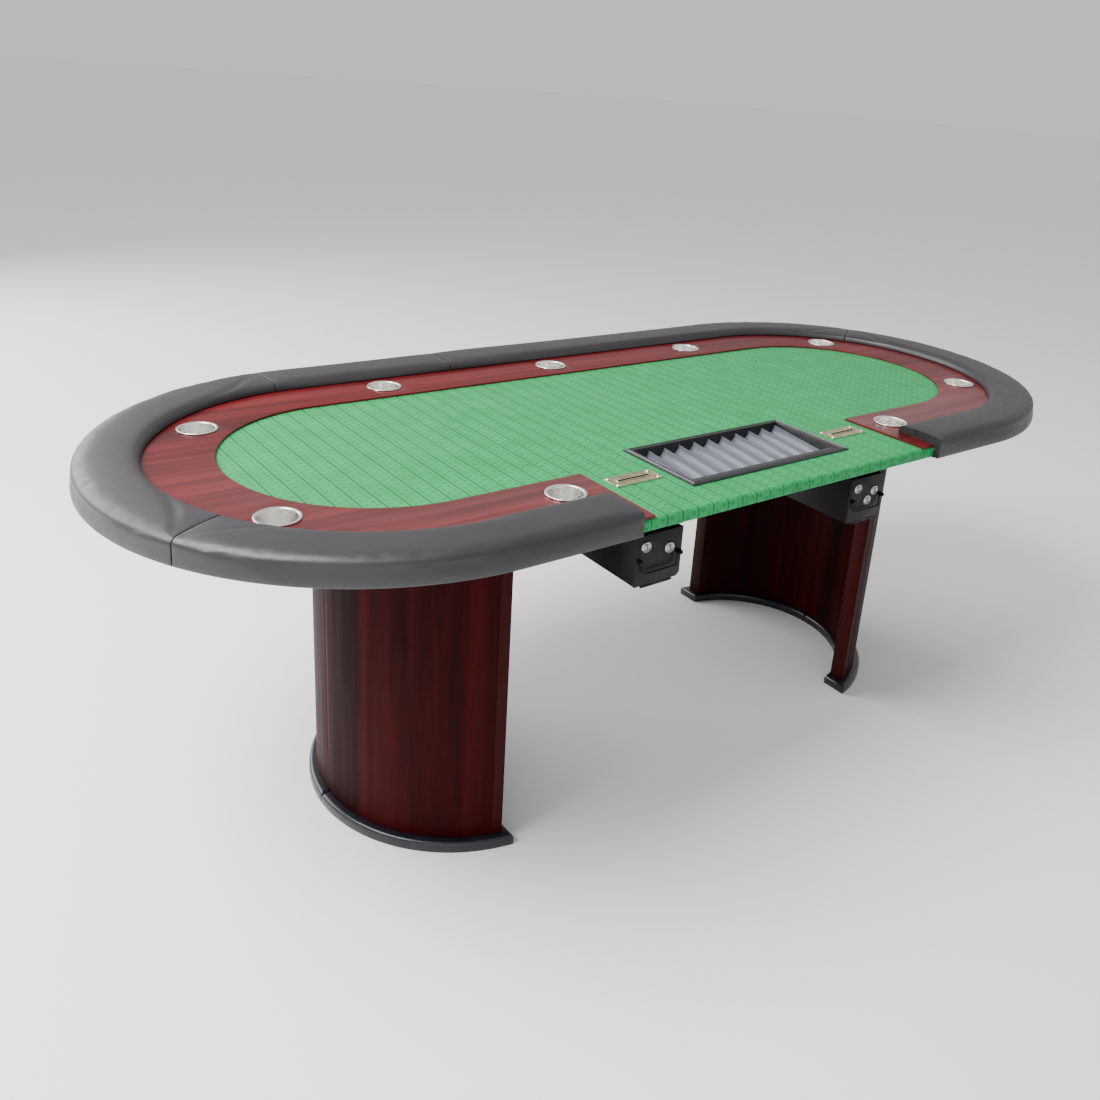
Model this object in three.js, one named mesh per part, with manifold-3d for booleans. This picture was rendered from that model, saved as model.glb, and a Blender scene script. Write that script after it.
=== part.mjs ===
// Ten-seat poker table with a dealer position: a padded rail over a wooden racetrack,
// a cloth playing surface, a chip tray, two drop boxes under slot plates, and two half-moon legs.
// Millimetres, +Z up, origin on the floor under the middle of the table, dealer side towards -Y.

import * as THREE from 'three';
import { mergeVertices } from 'three/addons/utils/BufferGeometryUtils.js';
import Module from 'manifold-3d';

const wasm = await Module();
wasm.setup();

// ---- driving dimensions -------------------------------------------------------------

const gap = 0.3;                    // between pieces that rest on each other
const runGap = 1.0;                 // between pieces that slide or turn past each other
const padGap = 1.5;                 // round the firm pieces inside the padding

const tableLength = 2440;
const tableWidth = 1090;
const clothTop = 795;               // playing height

const boardThickness = 18;
const foamThickness = 4;
const clothThickness = 1.5;
const trackThickness = 4.5;

const railWidth = 118;
const railHeight = 22;              // above the racetrack
const railCorner = 11;              // rounding of the rail's top edges
const skirtThickness = 10.5;        // padding outside the board's edge
const railCoreHeight = 12;
const railCoreInset = 16;           // wood set back from the rail's inner edge
const railCrown = 1;                // the padding is this much higher along its middle
const skirtChamfer = 3;
const dealerOpening = 862;          // between the two ends of the rail

const trackWidth = 127;             // visible, from the rail's inner edge
const trackOpening = 788;           // between the two ends of the racetrack
const trackSetback = 3;             // track's front end behind the cloth nose

const noseDepth = 8;                // padding and cloth in front of the board at the dealer's edge
const noseRadius = 7;
const noseHem = 3;                  // chamfer where the cloth turns in under the board

const cupRadius = 35;
const cupRimWidth = 5;              // past the bowl, all round
const cupTaper = 2.5;               // narrower at the floor of the cup
const cupWall = 1;
const cupDepth = 62;
const cupRimHeight = 2.5;
const cupInset = 57;                // cup centre from the rail's inner edge
const cupSideX = 478;
const cupFrontAngle = 38.5;         // degrees round the table's ends
const cupBackAngle = 43.5;

const trayLength = 462;
const trayWidth = 222;
const trayCentreY = -338;
const trayFlange = 12;
const trayFlangeHeight = 4;
const trayWall = 3;
const trayDepth = 54;               // below the flange
const grooveCount = 10;
const groovePitch = 42.5;
const grooveRadius = 20;
const trayTilt = 6;                 // degrees, dealer's side lower
const trayRidgeDrop = 19;           // middle of the ridges below the flange

const plateLength = 114;
const plateWidth = 47;
const plateThickness = 2;
const plateX = 311;
const plateY = -362;
const slotLength = 76;
const slotWidth = 5;
const chuteLength = 84;
const chuteWidth = 14;
const screwInsetX = 7;
const screwInsetY = 7;
const screwHeadRadius = 4;
const screwShankRadius = 1.75;
const screwLength = 16;
const screwHeadHeight = 1.8;
const screwPoint = 2;

const boxWidth = 115;
const boxHeight = 106;
const boxDepth = 228;
const boxSideInset = 1;             // the door stands this much past the box's sides
const boxTop = 721;                 // top of the box above the floor
const boxFrontY = -457;             // outer face of the door
const sheet = 2;                    // black sheet metal
const runnerWidth = 104;
const neckWidth = 88;
const neckHeight = 8;
const bracketWidth = 118;
const bracketLip = 10;

const doorThickness = 2.7;
const doorNotch = 8;
const hingePinRadius = 1.1;
const pinSeat = 0.2;                // round the pin, in the box's knuckles
const pinPlay = 0.7;                // round the pin, in the door's knuckle
const hingeKnuckle = 3.2;           // radius
const doorKnuckleLength = 28;
const boxKnuckleLength = 24;

const lockBezelRadius = 12;
const lockBezel = 2.5;
const lockBarrelRadius = 9.5;
const lockBarrelLength = 16;
const keyRecessRadius = 6.5;
const keywayLength = 9;
const keywayWidth = 1.8;
const camLength = 17;
const camWidth = 8;
const camThickness = 2;
const lockSpots = {                 // x from the box's middle, distance below the box's top
  release_lock: [-35, 24],
  door_lock: [25, 38],
};
const auditLockSpot = [4, 58];      // only on the right-hand box

const handleWire = 2;               // radius
const handleWidth = 84;
const handleDrop = 26;
const handleBend = 5;
const handleStandoff = 6.5;         // wire's centre in front of the door
const handlePivotDrop = 52;         // below the box's top
const lugWidth = 6;
const lugHeight = 9;
const lugInset = 7.5;               // lug's middle from the door's edge

const legRadius = 321;
const legCentreX = 470;
const legThickness = 40;
const legEndX = 546;                // inner end of the leg's end post
const legPostWidth = 22;
const legSeam = 0.6;
const plinthHeight = 24;
const plinthReach = 17;
const plinthRound = 6;
const legPlateThickness = 18;

const seamAngleRight = 33.5;        // degrees: where the rail's cover is joined
const seamBackX = -265;
const seamAngleLeft = 95.5;
const seamAngleFront = 210;

// ---- levels and outlines worked out from them ---------------------------------------

const railRadius = tableWidth / 2;
const endCentreX = tableLength / 2 - railRadius;
const clothBottom = clothTop - clothThickness;
const foamTop = clothBottom - gap;
const foamBottom = foamTop - foamThickness;
const boardTop = foamBottom - gap;
const boardBottom = boardTop - boardThickness;
const trackBottom = clothTop + gap;
const trackTop = trackBottom + trackThickness;
const railBottom = trackTop + gap;
const railTop = trackTop + railHeight;

const boardRadius = railRadius - skirtThickness - padGap;
const noseFront = boardRadius - trackSetback;               // distance of the cloth nose from the middle line
const boardFront = noseFront - noseDepth;
const trackRadius = noseFront - trackSetback;
const trackInnerRadius = railRadius - railWidth - trackWidth;
const dealerHalf = dealerOpening / 2;

const finishes = {
  plywood: { color: 0xb08b5a, roughness: 0.7, metalness: 0 },
  foam: { color: 0x33333a, roughness: 0.95, metalness: 0 },
  cloth: { color: 0x1f8a4c, roughness: 0.9, metalness: 0 },
  mahogany: { color: 0x5e1318, roughness: 0.35, metalness: 0 },
  leatherette: { color: 0x1b1c20, roughness: 0.5, metalness: 0 },
  steel: { color: 0xc9c9c6, roughness: 0.25, metalness: 1 },
  plate: { color: 0xc7b98a, roughness: 0.25, metalness: 1 },
  tray: { color: 0x1b1b1c, roughness: 0.4, metalness: 0 },
  groove: { color: 0x9aa0a6, roughness: 0.4, metalness: 0.3 },
  sheetMetal: { color: 0x17171a, roughness: 0.45, metalness: 0.6 },
  chrome: { color: 0xe0e0e0, roughness: 0.12, metalness: 1 },
  plinth: { color: 0x1c1c20, roughness: 0.35, metalness: 0 },
};

const table = new THREE.Group();

function add(name, geometry, finish, parent = table) {
  const mesh = new THREE.Mesh(geometry, new THREE.MeshStandardMaterial(finishes[finish]));
  mesh.name = name;
  parent.add(mesh);
  return mesh;
}

// ---- joining and cutting ------------------------------------------------------------

function solid(geometry) {
  const bare = geometry.clone();
  for (const name of Object.keys(bare.attributes)) {
    if (name !== 'position') bare.deleteAttribute(name);
  }
  const merged = mergeVertices(bare, 1e-4);
  return new wasm.Manifold(new wasm.Mesh({
    numProp: 3,
    vertProperties: new Float32Array(merged.attributes.position.array),
    triVerts: new Uint32Array(merged.index.array),
  }));
}

function shell(manifold) {
  const mesh = manifold.getMesh();
  const geometry = new THREE.BufferGeometry();
  geometry.setAttribute('position', new THREE.BufferAttribute(mesh.vertProperties, 3));
  geometry.setIndex(new THREE.BufferAttribute(mesh.triVerts, 1));
  return geometry;
}

const joined = (...geometries) => shell(geometries.map(solid).reduce((a, b) => a.add(b)));
const cut = (geometry, ...tools) => shell(tools.map(solid).reduce((a, b) => a.subtract(b), solid(geometry)));
const common = (a, b) => shell(solid(a).intersect(solid(b)));

// a block given by its lowest and highest corners
function block(x0, x1, y0, y1, z0, z1) {
  const geometry = new THREE.BoxGeometry(x1 - x0, y1 - y0, z1 - z0);
  return geometry.translate((x0 + x1) / 2, (y0 + y1) / 2, (z0 + z1) / 2);
}

function slab(shape, z0, z1, curveSegments = 12) {
  const geometry = new THREE.ExtrudeGeometry(shape, { depth: z1 - z0, bevelEnabled: false, curveSegments });
  return geometry.translate(0, 0, z0);
}

// an outline in the YZ plane, drawn as (y, z), extruded along X
function slabAlongX(shape, x0, x1) {
  const depth = x1 - x0;
  const geometry = new THREE.ExtrudeGeometry(shape, { depth, bevelEnabled: false, curveSegments: 4 });
  return geometry.rotateX(Math.PI / 2).rotateZ(Math.PI / 2).translate(x0, 0, 0);
}

// an outline in the XZ plane, drawn as (x, z), extruded along Y
function slabAlongY(shape, y0, y1, curveSegments = 3) {
  const geometry = new THREE.ExtrudeGeometry(shape, { depth: y1 - y0, bevelEnabled: false, curveSegments });
  return geometry.rotateX(Math.PI / 2).translate(0, y1, 0);
}

// a solid of revolution, its profile drawn as (radius, z)
function turned(profile, segments) {
  const points = profile.map(([radius, z]) => new THREE.Vector2(radius, z));
  return new THREE.LatheGeometry(points, segments).rotateX(Math.PI / 2);
}

// the same about an axis along Y, its profile drawn as (radius, distance towards -Y)
function turnedAlongY(profile, segments) {
  return turned(profile, segments).rotateX(Math.PI / 2);
}

function outline(points) {
  return new THREE.Shape(points.map(([x, y]) => new THREE.Vector2(x, y)));
}

function roundHole(x, y, radius, sides) {
  const points = [];
  for (let i = 0; i < sides; i++) {
    const angle = (2 * Math.PI * i) / sides;
    points.push(new THREE.Vector2(x + radius * Math.cos(angle), y + radius * Math.sin(angle)));
  }
  return new THREE.Path(points);
}

function squareHole(x, y, length, width) {
  return new THREE.Path([
    new THREE.Vector2(x - length / 2, y - width / 2),
    new THREE.Vector2(x + length / 2, y - width / 2),
    new THREE.Vector2(x + length / 2, y + width / 2),
    new THREE.Vector2(x - length / 2, y + width / 2),
  ]);
}

const radians = THREE.MathUtils.degToRad;
const sides = [['left', -1], ['right', 1]];

// ---- cups, tray and plates: where they stand, for the holes and for themselves --------

function cupSpots() {
  const radius = railRadius - railWidth - cupInset;
  const atEnd = (side, degrees) => [
    side * (endCentreX + radius * Math.cos(radians(degrees))),
    radius * Math.sin(radians(degrees)),
  ];
  return [
    [-cupSideX, -radius], atEnd(-1, -cupFrontAngle), atEnd(-1, cupBackAngle), [-cupSideX, radius],
    [0, radius],
    [cupSideX, radius], atEnd(1, cupBackAngle), atEnd(1, -cupFrontAngle), [cupSideX, -radius],
  ];
}

function screwSpots(side) {
  const dx = plateLength / 2 - screwInsetX;
  const dy = plateWidth / 2 - screwInsetY;
  return [[-dx, -dy], [dx, -dy], [dx, dy], [-dx, dy]].map(([x, y]) => [side * plateX + x, plateY + y]);
}

const trayBodyLength = trayLength - 2 * trayFlange;
const trayBodyWidth = trayWidth - 2 * trayFlange;

function pierceForCups(shape) {
  for (const [x, y] of cupSpots()) shape.holes.push(roundHole(x, y, cupRadius + runGap, 16));
}

function pierceForDealer(shape) {
  shape.holes.push(squareHole(0, trayCentreY, trayBodyLength + 2 * runGap, trayBodyWidth + 2 * runGap));
  for (const [, side] of sides) {
    shape.holes.push(squareHole(side * plateX, plateY, chuteLength, chuteWidth));
    for (const [x, y] of screwSpots(side)) shape.holes.push(roundHole(x, y, screwShankRadius + 2 * gap, 6));
  }
}

// a stadium, its straight front cut back to frontY across the dealer's opening
function tabletopOutline(radius, frontY, halfOpening) {
  const shape = new THREE.Shape();
  shape.moveTo(-halfOpening, -radius);
  shape.lineTo(-halfOpening, frontY);
  shape.lineTo(halfOpening, frontY);
  shape.lineTo(halfOpening, -radius);
  shape.absarc(endCentreX, 0, radius, -Math.PI / 2, Math.PI / 2, false);
  shape.absarc(-endCentreX, 0, radius, Math.PI / 2, 1.5 * Math.PI, false);
  return shape;
}

// a flat band between two stadiums, open at the front
function openBand(outerRadius, innerRadius, halfOpening) {
  const shape = new THREE.Shape();
  shape.moveTo(halfOpening, -innerRadius);
  shape.lineTo(halfOpening, -outerRadius);
  shape.absarc(endCentreX, 0, outerRadius, -Math.PI / 2, Math.PI / 2, false);
  shape.absarc(-endCentreX, 0, outerRadius, Math.PI / 2, 1.5 * Math.PI, false);
  shape.lineTo(-halfOpening, -outerRadius);
  shape.lineTo(-halfOpening, -innerRadius);
  shape.absarc(-endCentreX, 0, innerRadius, 1.5 * Math.PI, Math.PI / 2, true);
  shape.absarc(endCentreX, 0, innerRadius, Math.PI / 2, -Math.PI / 2, true);
  return shape;
}

// ---- tabletop -------------------------------------------------------------------------

function makeTabletop() {
  for (const [name, finish, bottom, top] of [
    ['table_board', 'plywood', boardBottom, boardTop],
    ['foam_underlay', 'foam', foamBottom, foamTop],
  ]) {
    const shape = tabletopOutline(boardRadius, -boardFront, dealerHalf);
    pierceForCups(shape);
    pierceForDealer(shape);
    add(name, slab(shape, bottom, top), finish);
  }

  const lap = noseRadius + 1;                                // where the flat cloth meets the nose
  const shape = tabletopOutline(boardRadius, -noseFront + noseRadius, dealerHalf);
  pierceForCups(shape);
  pierceForDealer(shape);
  const nose = new THREE.Shape();
  nose.moveTo(-noseFront + lap, clothBottom);
  nose.lineTo(-noseFront + lap, clothTop);
  nose.absarc(-noseFront + noseRadius, clothTop - noseRadius, noseRadius, Math.PI / 2, Math.PI, false);
  nose.lineTo(-noseFront, boardBottom + noseHem);
  nose.lineTo(-noseFront + noseHem, boardBottom);
  nose.lineTo(-boardFront - gap, boardBottom);
  nose.lineTo(-boardFront - gap, clothBottom);
  const front = slabAlongX(nose, -dealerHalf + 2 * gap, dealerHalf - 2 * gap);
  add('speed_cloth', joined(slab(shape, clothBottom, clothTop), front), 'cloth');

  const track = openBand(trackRadius, trackInnerRadius, trackOpening / 2);
  pierceForCups(track);
  add('racetrack', slab(track, trackBottom, trackTop), 'mahogany');
}

// ---- padded rail ------------------------------------------------------------------------

// the rail's outer edge, from the dealer's right hand round the back to the left hand
class RailEdge extends THREE.Curve {
  constructor(start, end) {
    super();
    this.start = start;
    this.end = end;
  }

  getPoint(t, target = new THREE.Vector3()) {
    let s = this.start + (this.end - this.start) * t;
    const straight = endCentreX - dealerHalf;
    const arc = Math.PI * railRadius;
    if (s < straight) return target.set(dealerHalf + s, -railRadius, 0);
    s -= straight;
    if (s < arc) {
      const angle = s / railRadius - Math.PI / 2;
      return target.set(endCentreX + railRadius * Math.cos(angle), railRadius * Math.sin(angle), 0);
    }
    s -= arc;
    if (s < 2 * endCentreX) return target.set(endCentreX - s, railRadius, 0);
    s -= 2 * endCentreX;
    if (s < arc) {
      const angle = s / railRadius + Math.PI / 2;
      return target.set(-endCentreX + railRadius * Math.cos(angle), railRadius * Math.sin(angle), 0);
    }
    return target.set(-endCentreX + (s - arc), -railRadius, 0);
  }
}

// the padding's section over the wooden core and down the board's edge; drawn as (-z, distance inwards)
function armrestSection() {
  const flat = railTop - railCrown;
  const coreTop = railBottom + railCoreHeight + padGap;
  const coreInner = railWidth - railCoreInset + padGap;
  const shoulder = railCorner * (1 - Math.SQRT1_2);            // halfway round a rounded corner
  const points = [
    [skirtChamfer, boardBottom], [0, boardBottom + skirtChamfer],
    [0, flat - railCorner], [shoulder, flat - shoulder], [railCorner, flat],
    [railWidth / 2, railTop],
    [railWidth - railCorner, flat], [railWidth - shoulder, flat - shoulder], [railWidth, flat - railCorner],
    [railWidth, railBottom],
    [coreInner, railBottom], [coreInner, coreTop], [skirtThickness, coreTop], [skirtThickness, boardBottom],
  ];
  return outline(points.map(([inwards, z]) => [-z, inwards]));
}

function makeRail() {
  const coreInnerRadius = railRadius - railWidth + railCoreInset;
  const coreOuterRadius = boardRadius - trackSetback;
  const core = openBand(coreOuterRadius, coreInnerRadius, dealerHalf + padGap);
  add('rail_core', slab(core, railBottom, railBottom + railCoreHeight), 'plywood');

  const straight = endCentreX - dealerHalf;
  const arc = Math.PI * railRadius;
  const leftStart = straight + arc + 2 * endCentreX;
  const onRightEnd = (degrees) => straight + (radians(degrees) + Math.PI / 2) * railRadius;
  const onLeftEnd = (degrees) => leftStart + (radians(degrees) - Math.PI / 2) * railRadius;
  const seams = [
    0,
    onRightEnd(seamAngleRight),
    straight + arc + endCentreX - seamBackX,
    onLeftEnd(seamAngleLeft),
    onLeftEnd(seamAngleFront),
    leftStart + arc + straight,
  ];
  const step = Math.sqrt(8 * railRadius * 0.8 * padGap);        // the chords' sag stays within padGap
  for (let i = 0; i + 1 < seams.length; i++) {
    const path = new RailEdge(seams[i] + gap, seams[i + 1] - gap);
    const steps = Math.ceil((seams[i + 1] - seams[i]) / step);
    const padding = new THREE.ExtrudeGeometry(armrestSection(), { steps, extrudePath: path });
    add(`armrest_${i + 1}`, padding, 'leatherette');
  }
}

// ---- cup holders --------------------------------------------------------------------------

function makeCups() {
  const top = trackTop + gap;
  const foot = top - cupDepth;
  const rimRadius = cupRadius + cupRimWidth;
  const footRadius = cupRadius - cupTaper;
  const profile = [
    [0, foot], [footRadius, foot], [cupRadius, top], [rimRadius, top], [rimRadius - cupWall, top + cupRimHeight],
    [cupRadius, top + cupRimHeight], [cupRadius - cupWall, top], [footRadius - cupWall, foot + cupWall],
    [0, foot + cupWall],
  ];
  cupSpots().forEach(([x, y], i) => {
    add(`cup_holder_${i + 1}`, turned(profile, 16), 'steel').position.set(x, y, 0);
  });
}

// ---- chip tray ------------------------------------------------------------------------------

function makeTray() {
  const tray = new THREE.Group();
  tray.position.set(0, trayCentreY, 0);
  table.add(tray);
  const flangeBottom = clothTop + gap;
  const flangeTop = flangeBottom + trayFlangeHeight;
  const floorTop = flangeBottom - trayDepth + trayWall;
  const pocketLength = trayBodyLength - 2 * trayWall;
  const pocketWidth = trayBodyWidth - 2 * trayWall;

  const bevel = trayFlangeHeight / 2;
  const flange = outline([
    [-trayLength / 2 + bevel, -trayWidth / 2 + bevel], [trayLength / 2 - bevel, -trayWidth / 2 + bevel],
    [trayLength / 2 - bevel, trayWidth / 2 - bevel], [-trayLength / 2 + bevel, trayWidth / 2 - bevel],
  ]);
  const rim = new THREE.ExtrudeGeometry(flange, {
    depth: trayFlangeHeight - bevel, bevelThickness: bevel, bevelSize: bevel, bevelSegments: 1,
  }).translate(0, 0, flangeBottom);
  const body = block(
    -trayBodyLength / 2, trayBodyLength / 2, -trayBodyWidth / 2, trayBodyWidth / 2,
    flangeBottom - trayDepth, flangeTop - bevel);
  const pocket = block(
    -pocketLength / 2, pocketLength / 2, -pocketWidth / 2, pocketWidth / 2, floorTop, flangeTop + 1);
  const under = block(
    -trayLength, trayLength, -trayWidth, trayWidth, flangeBottom - trayDepth - 1, flangeBottom);
  const lip = cut(rim, under);
  add('chip_tray_frame', cut(joined(lip, body), pocket), 'tray', tray);

  // ten half-round grooves side by side, leaning down towards the dealer
  const ridge = flangeTop - trayRidgeDrop;
  const half = (grooveCount * groovePitch) / 2;
  const profile = new THREE.Shape();
  profile.moveTo(-pocketLength, ridge - 2 * trayDepth);
  profile.lineTo(pocketLength, ridge - 2 * trayDepth);
  profile.lineTo(pocketLength, ridge);
  for (let i = grooveCount - 1; i >= 0; i--) {
    profile.absarc(-half + (i + 0.5) * groovePitch, ridge, grooveRadius, 0, Math.PI, true);
  }
  profile.lineTo(-pocketLength, ridge);
  const fluted = slabAlongY(profile, -trayWidth, trayWidth, 4)
    .translate(0, 0, -ridge).rotateX(radians(trayTilt)).translate(0, 0, ridge);
  const room = block(
    -pocketLength / 2 + gap, pocketLength / 2 - gap, -pocketWidth / 2 + gap, pocketWidth / 2 - gap,
    floorTop + gap, flangeTop);
  add('chip_tray_insert', common(fluted, room), 'groove', tray);
}

// ---- slot plates ------------------------------------------------------------------------------

function makeSlotPlates() {
  const bottom = clothTop + gap;
  const top = bottom + plateThickness;
  const headBottom = top + gap;
  for (const [name, side] of sides) {
    const left = side * plateX - plateLength / 2;
    const front = plateY - plateWidth / 2;
    const right = left + plateLength;
    const back = front + plateWidth;
    const shape = outline([[left, front], [right, front], [right, back], [left, back]]);
    shape.holes.push(squareHole(side * plateX, plateY, slotLength, slotWidth));
    for (const [x, y] of screwSpots(side)) shape.holes.push(roundHole(x, y, screwShankRadius + gap, 8));
    add(`slot_plate_${name}`, slab(shape, bottom, top), 'plate');

    const tip = headBottom - screwLength;
    const screw = [
      [0, tip], [screwShankRadius, tip + screwPoint], [screwShankRadius, headBottom],
      [screwHeadRadius, headBottom],
      [screwHeadRadius * 0.7, headBottom + screwHeadHeight * 0.8], [0, headBottom + screwHeadHeight],
    ];
    screwSpots(side).forEach(([x, y], i) => {
      add(`slot_screw_${name}_${i + 1}`, turned(screw, 8), 'chrome').position.set(x, y, 0);
    });
  }
}

// ---- drop boxes: everything is drawn about the box's middle, its door's outer face at y = 0 -----

const bodyFront = doorThickness + gap;
const boxBottom = boxTop - boxHeight;
const runnerBottom = boxTop + neckHeight;
const runnerTop = runnerBottom + sheet;
const hingeY = hingeKnuckle;
const hingeZ = boxBottom - hingeKnuckle - gap;
const boxKnuckleStart = doorKnuckleLength / 2 + gap;
const boxKnuckleEnd = boxKnuckleStart + boxKnuckleLength;

function makeBracket(name, parent) {
  const half = bracketWidth / 2;
  const top = boardBottom - gap;
  const lipTop = runnerBottom - runGap;
  const lipBottom = lipTop - sheet;
  const back = boxDepth + 4;
  const channel = outline([
    [-half, lipBottom], [-half + bracketLip, lipBottom], [-half + bracketLip, lipTop],
    [-half + sheet, lipTop], [-half + sheet, top - sheet],
    [half - sheet, top - sheet], [half - sheet, lipTop],
    [half - bracketLip, lipTop], [half - bracketLip, lipBottom], [half, lipBottom], [half, top], [-half, top],
  ]);
  const slotY = plateY - boxFrontY;
  const chuteBottom = runnerTop + runGap;
  const chuteX = chuteLength / 2;
  const chuteY = chuteWidth / 2;
  const chute = block(
    -chuteX - sheet, chuteX + sheet, slotY - chuteY - sheet, slotY + chuteY + sheet, chuteBottom, top);
  const bore = block(-chuteX, chuteX, slotY - chuteY, slotY + chuteY, chuteBottom - 1, top + 1);
  const bracket = cut(joined(slabAlongY(channel, bodyFront, back), chute), bore);
  add(`drop_bracket_${name}`, bracket, 'sheetMetal', parent);
}

function hingeBarrel(x0, x1, bore) {
  const barrel = turned([[0, x0], [hingeKnuckle, x0], [hingeKnuckle, x1], [0, x1]], 12).rotateY(Math.PI / 2);
  barrel.translate(0, hingeY, hingeZ);
  const hole = turned([[0, x0 - 1], [bore, x0 - 1], [bore, x1 + 1], [0, x1 + 1]], 12).rotateY(Math.PI / 2);
  return [barrel, hole.translate(0, hingeY, hingeZ)];
}

function makeBoxBody(name, parent) {
  const half = boxWidth / 2 - boxSideInset;
  const slotY = plateY - boxFrontY;
  const outer = block(-half, half, bodyFront, boxDepth, boxBottom, boxTop);
  const inner = block(
    -half + sheet, half - sheet, bodyFront - 1, boxDepth - sheet, boxBottom + sheet, boxTop - sheet);
  const runner = block(-runnerWidth / 2, runnerWidth / 2, bodyFront, boxDepth, runnerBottom, runnerTop);
  const neck = block(-neckWidth / 2, neckWidth / 2, bodyFront, boxDepth, boxTop - sheet, runnerTop);
  const hollowNeck = block(
    -neckWidth / 2 + sheet, neckWidth / 2 - sheet, bodyFront - 1, boxDepth + 1, boxTop, runnerBottom);
  const mouth = block(
    -chuteLength / 2 + sheet, chuteLength / 2 - sheet, slotY - chuteWidth / 2, slotY + chuteWidth / 2,
    boxTop - sheet - 1, runnerTop + 1);
  const tools = [inner, hollowNeck, mouth];
  const pieces = [outer, runner, neck];
  for (const side of [-1, 1]) {
    const [x0, x1] = side > 0 ? [boxKnuckleStart, boxKnuckleEnd] : [-boxKnuckleEnd, -boxKnuckleStart];
    const [barrel, bore] = hingeBarrel(x0, x1, hingePinRadius + pinSeat);
    const tab = block(x0, x1, hingeY, hingeY + hingeKnuckle, hingeZ, boxBottom + sheet / 2);
    pieces.push(barrel, tab);
    tools.push(bore);
  }
  add(`drop_box_${name}`, cut(joined(...pieces), ...tools), 'sheetMetal', parent);
}

function makeDoor(name, lockPlaces, parent) {
  const half = boxWidth / 2;
  const plate = outline([
    [-half, boxBottom], [half - doorNotch, boxBottom], [half, boxBottom + doorNotch],
    [half, boxTop], [-half, boxTop],
  ]);
  const pieces = [slabAlongY(plate, 0, doorThickness)];
  const tools = [];
  for (const [x, drop] of lockPlaces) {
    const radius = lockBarrelRadius + gap;
    const hole = [[0, -doorThickness - 1], [radius, -doorThickness - 1], [radius, 1], [0, 1]];
    tools.push(turnedAlongY(hole, 16).translate(x, 0, boxTop - drop));
  }
  for (const side of [-1, 1]) {
    const x = side * (half - lugInset);
    const z = boxTop - handlePivotDrop;
    const nose = -handleStandoff - lugHeight / 2;
    pieces.push(block(
      x - lugWidth / 2, x + lugWidth / 2, nose, doorThickness / 2, z - lugHeight / 2, z + lugHeight / 2));
    const bore = [[0, -half], [handleWire + gap, -half], [handleWire + gap, half], [0, half]];
    tools.push(turned(bore, 12).rotateY(Math.PI / 2).translate(side * half, -handleStandoff, z));
  }
  const knuckleEnd = doorKnuckleLength / 2;
  const [barrel, bore] = hingeBarrel(-knuckleEnd, knuckleEnd, hingePinRadius + pinPlay);
  const tab = block(-knuckleEnd, knuckleEnd, 0, doorThickness, hingeZ, boxBottom + 1);
  pieces.push(barrel, tab);
  tools.push(bore);
  add(`drop_box_door_${name}`, cut(joined(...pieces), ...tools), 'sheetMetal', parent);

  const pinEnd = boxKnuckleEnd - gap;
  const pin = turned([[0, -pinEnd], [hingePinRadius, -pinEnd], [hingePinRadius, pinEnd], [0, pinEnd]], 12);
  add(`door_hinge_pin_${name}`, pin.rotateY(Math.PI / 2).translate(0, hingeY, hingeZ), 'chrome', parent);
}

// bezel, barrel and cam in one; the cam stands up when the lock is shut
function makeLock(name, x, drop, parent) {
  const behind = doorThickness + lockBarrelLength;
  const profile = [
    [0, -behind], [lockBarrelRadius, -behind], [lockBarrelRadius, gap], [lockBezelRadius, gap],
    [lockBezelRadius - lockBezel / 2, gap + lockBezel], [keyRecessRadius + 1, gap + lockBezel],
    [keyRecessRadius, gap + lockBezel / 2], [0, gap + lockBezel / 2],
  ];
  const camBack = behind - camThickness / 2;
  const cam = block(-camWidth / 2, camWidth / 2, camBack - camThickness, camBack, 0, camLength);
  const keyway = block(
    -keywayWidth / 2, keywayWidth / 2, -lockBezel, doorThickness, -keywayLength / 2, keywayLength / 2);
  const lock = add(name, cut(joined(turnedAlongY(profile, 16), cam), keyway), 'chrome', parent);
  lock.position.set(x, 0, boxTop - drop);
}

function makeHandle(name, parent) {
  const x = handleWidth / 2;
  const z = boxTop - handlePivotDrop;
  const tip = boxWidth / 2 - lugInset + lugWidth / 2 - gap;
  const path = new THREE.CurvePath();
  const corners = [[-tip, z], [-x, z], [-x, z - handleDrop], [x, z - handleDrop], [x, z], [tip, z]];
  const at = ([px, pz]) => new THREE.Vector3(px, -handleStandoff, pz);
  let from = at(corners[0]);
  for (let i = 1; i + 1 < corners.length; i++) {
    const corner = at(corners[i]);
    const next = at(corners[i + 1]);
    const reach = Math.min(handleBend, corner.distanceTo(from) / 2, corner.distanceTo(next) / 2);
    const entry = corner.clone().lerp(from, reach / corner.distanceTo(from));
    const exit = corner.clone().lerp(next, reach / corner.distanceTo(next));
    path.add(new THREE.LineCurve3(from, entry));
    path.add(new THREE.QuadraticBezierCurve3(entry, corner, exit));
    from = exit;
  }
  path.add(new THREE.LineCurve3(from, at(corners[corners.length - 1])));
  const section = new THREE.Shape();
  section.absarc(0, 0, handleWire, 0, 2 * Math.PI, false);
  const wire = new THREE.ExtrudeGeometry(section, { steps: 26, curveSegments: 4, extrudePath: path });
  add(`bail_handle_${name}`, wire, 'sheetMetal', parent);
}

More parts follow.
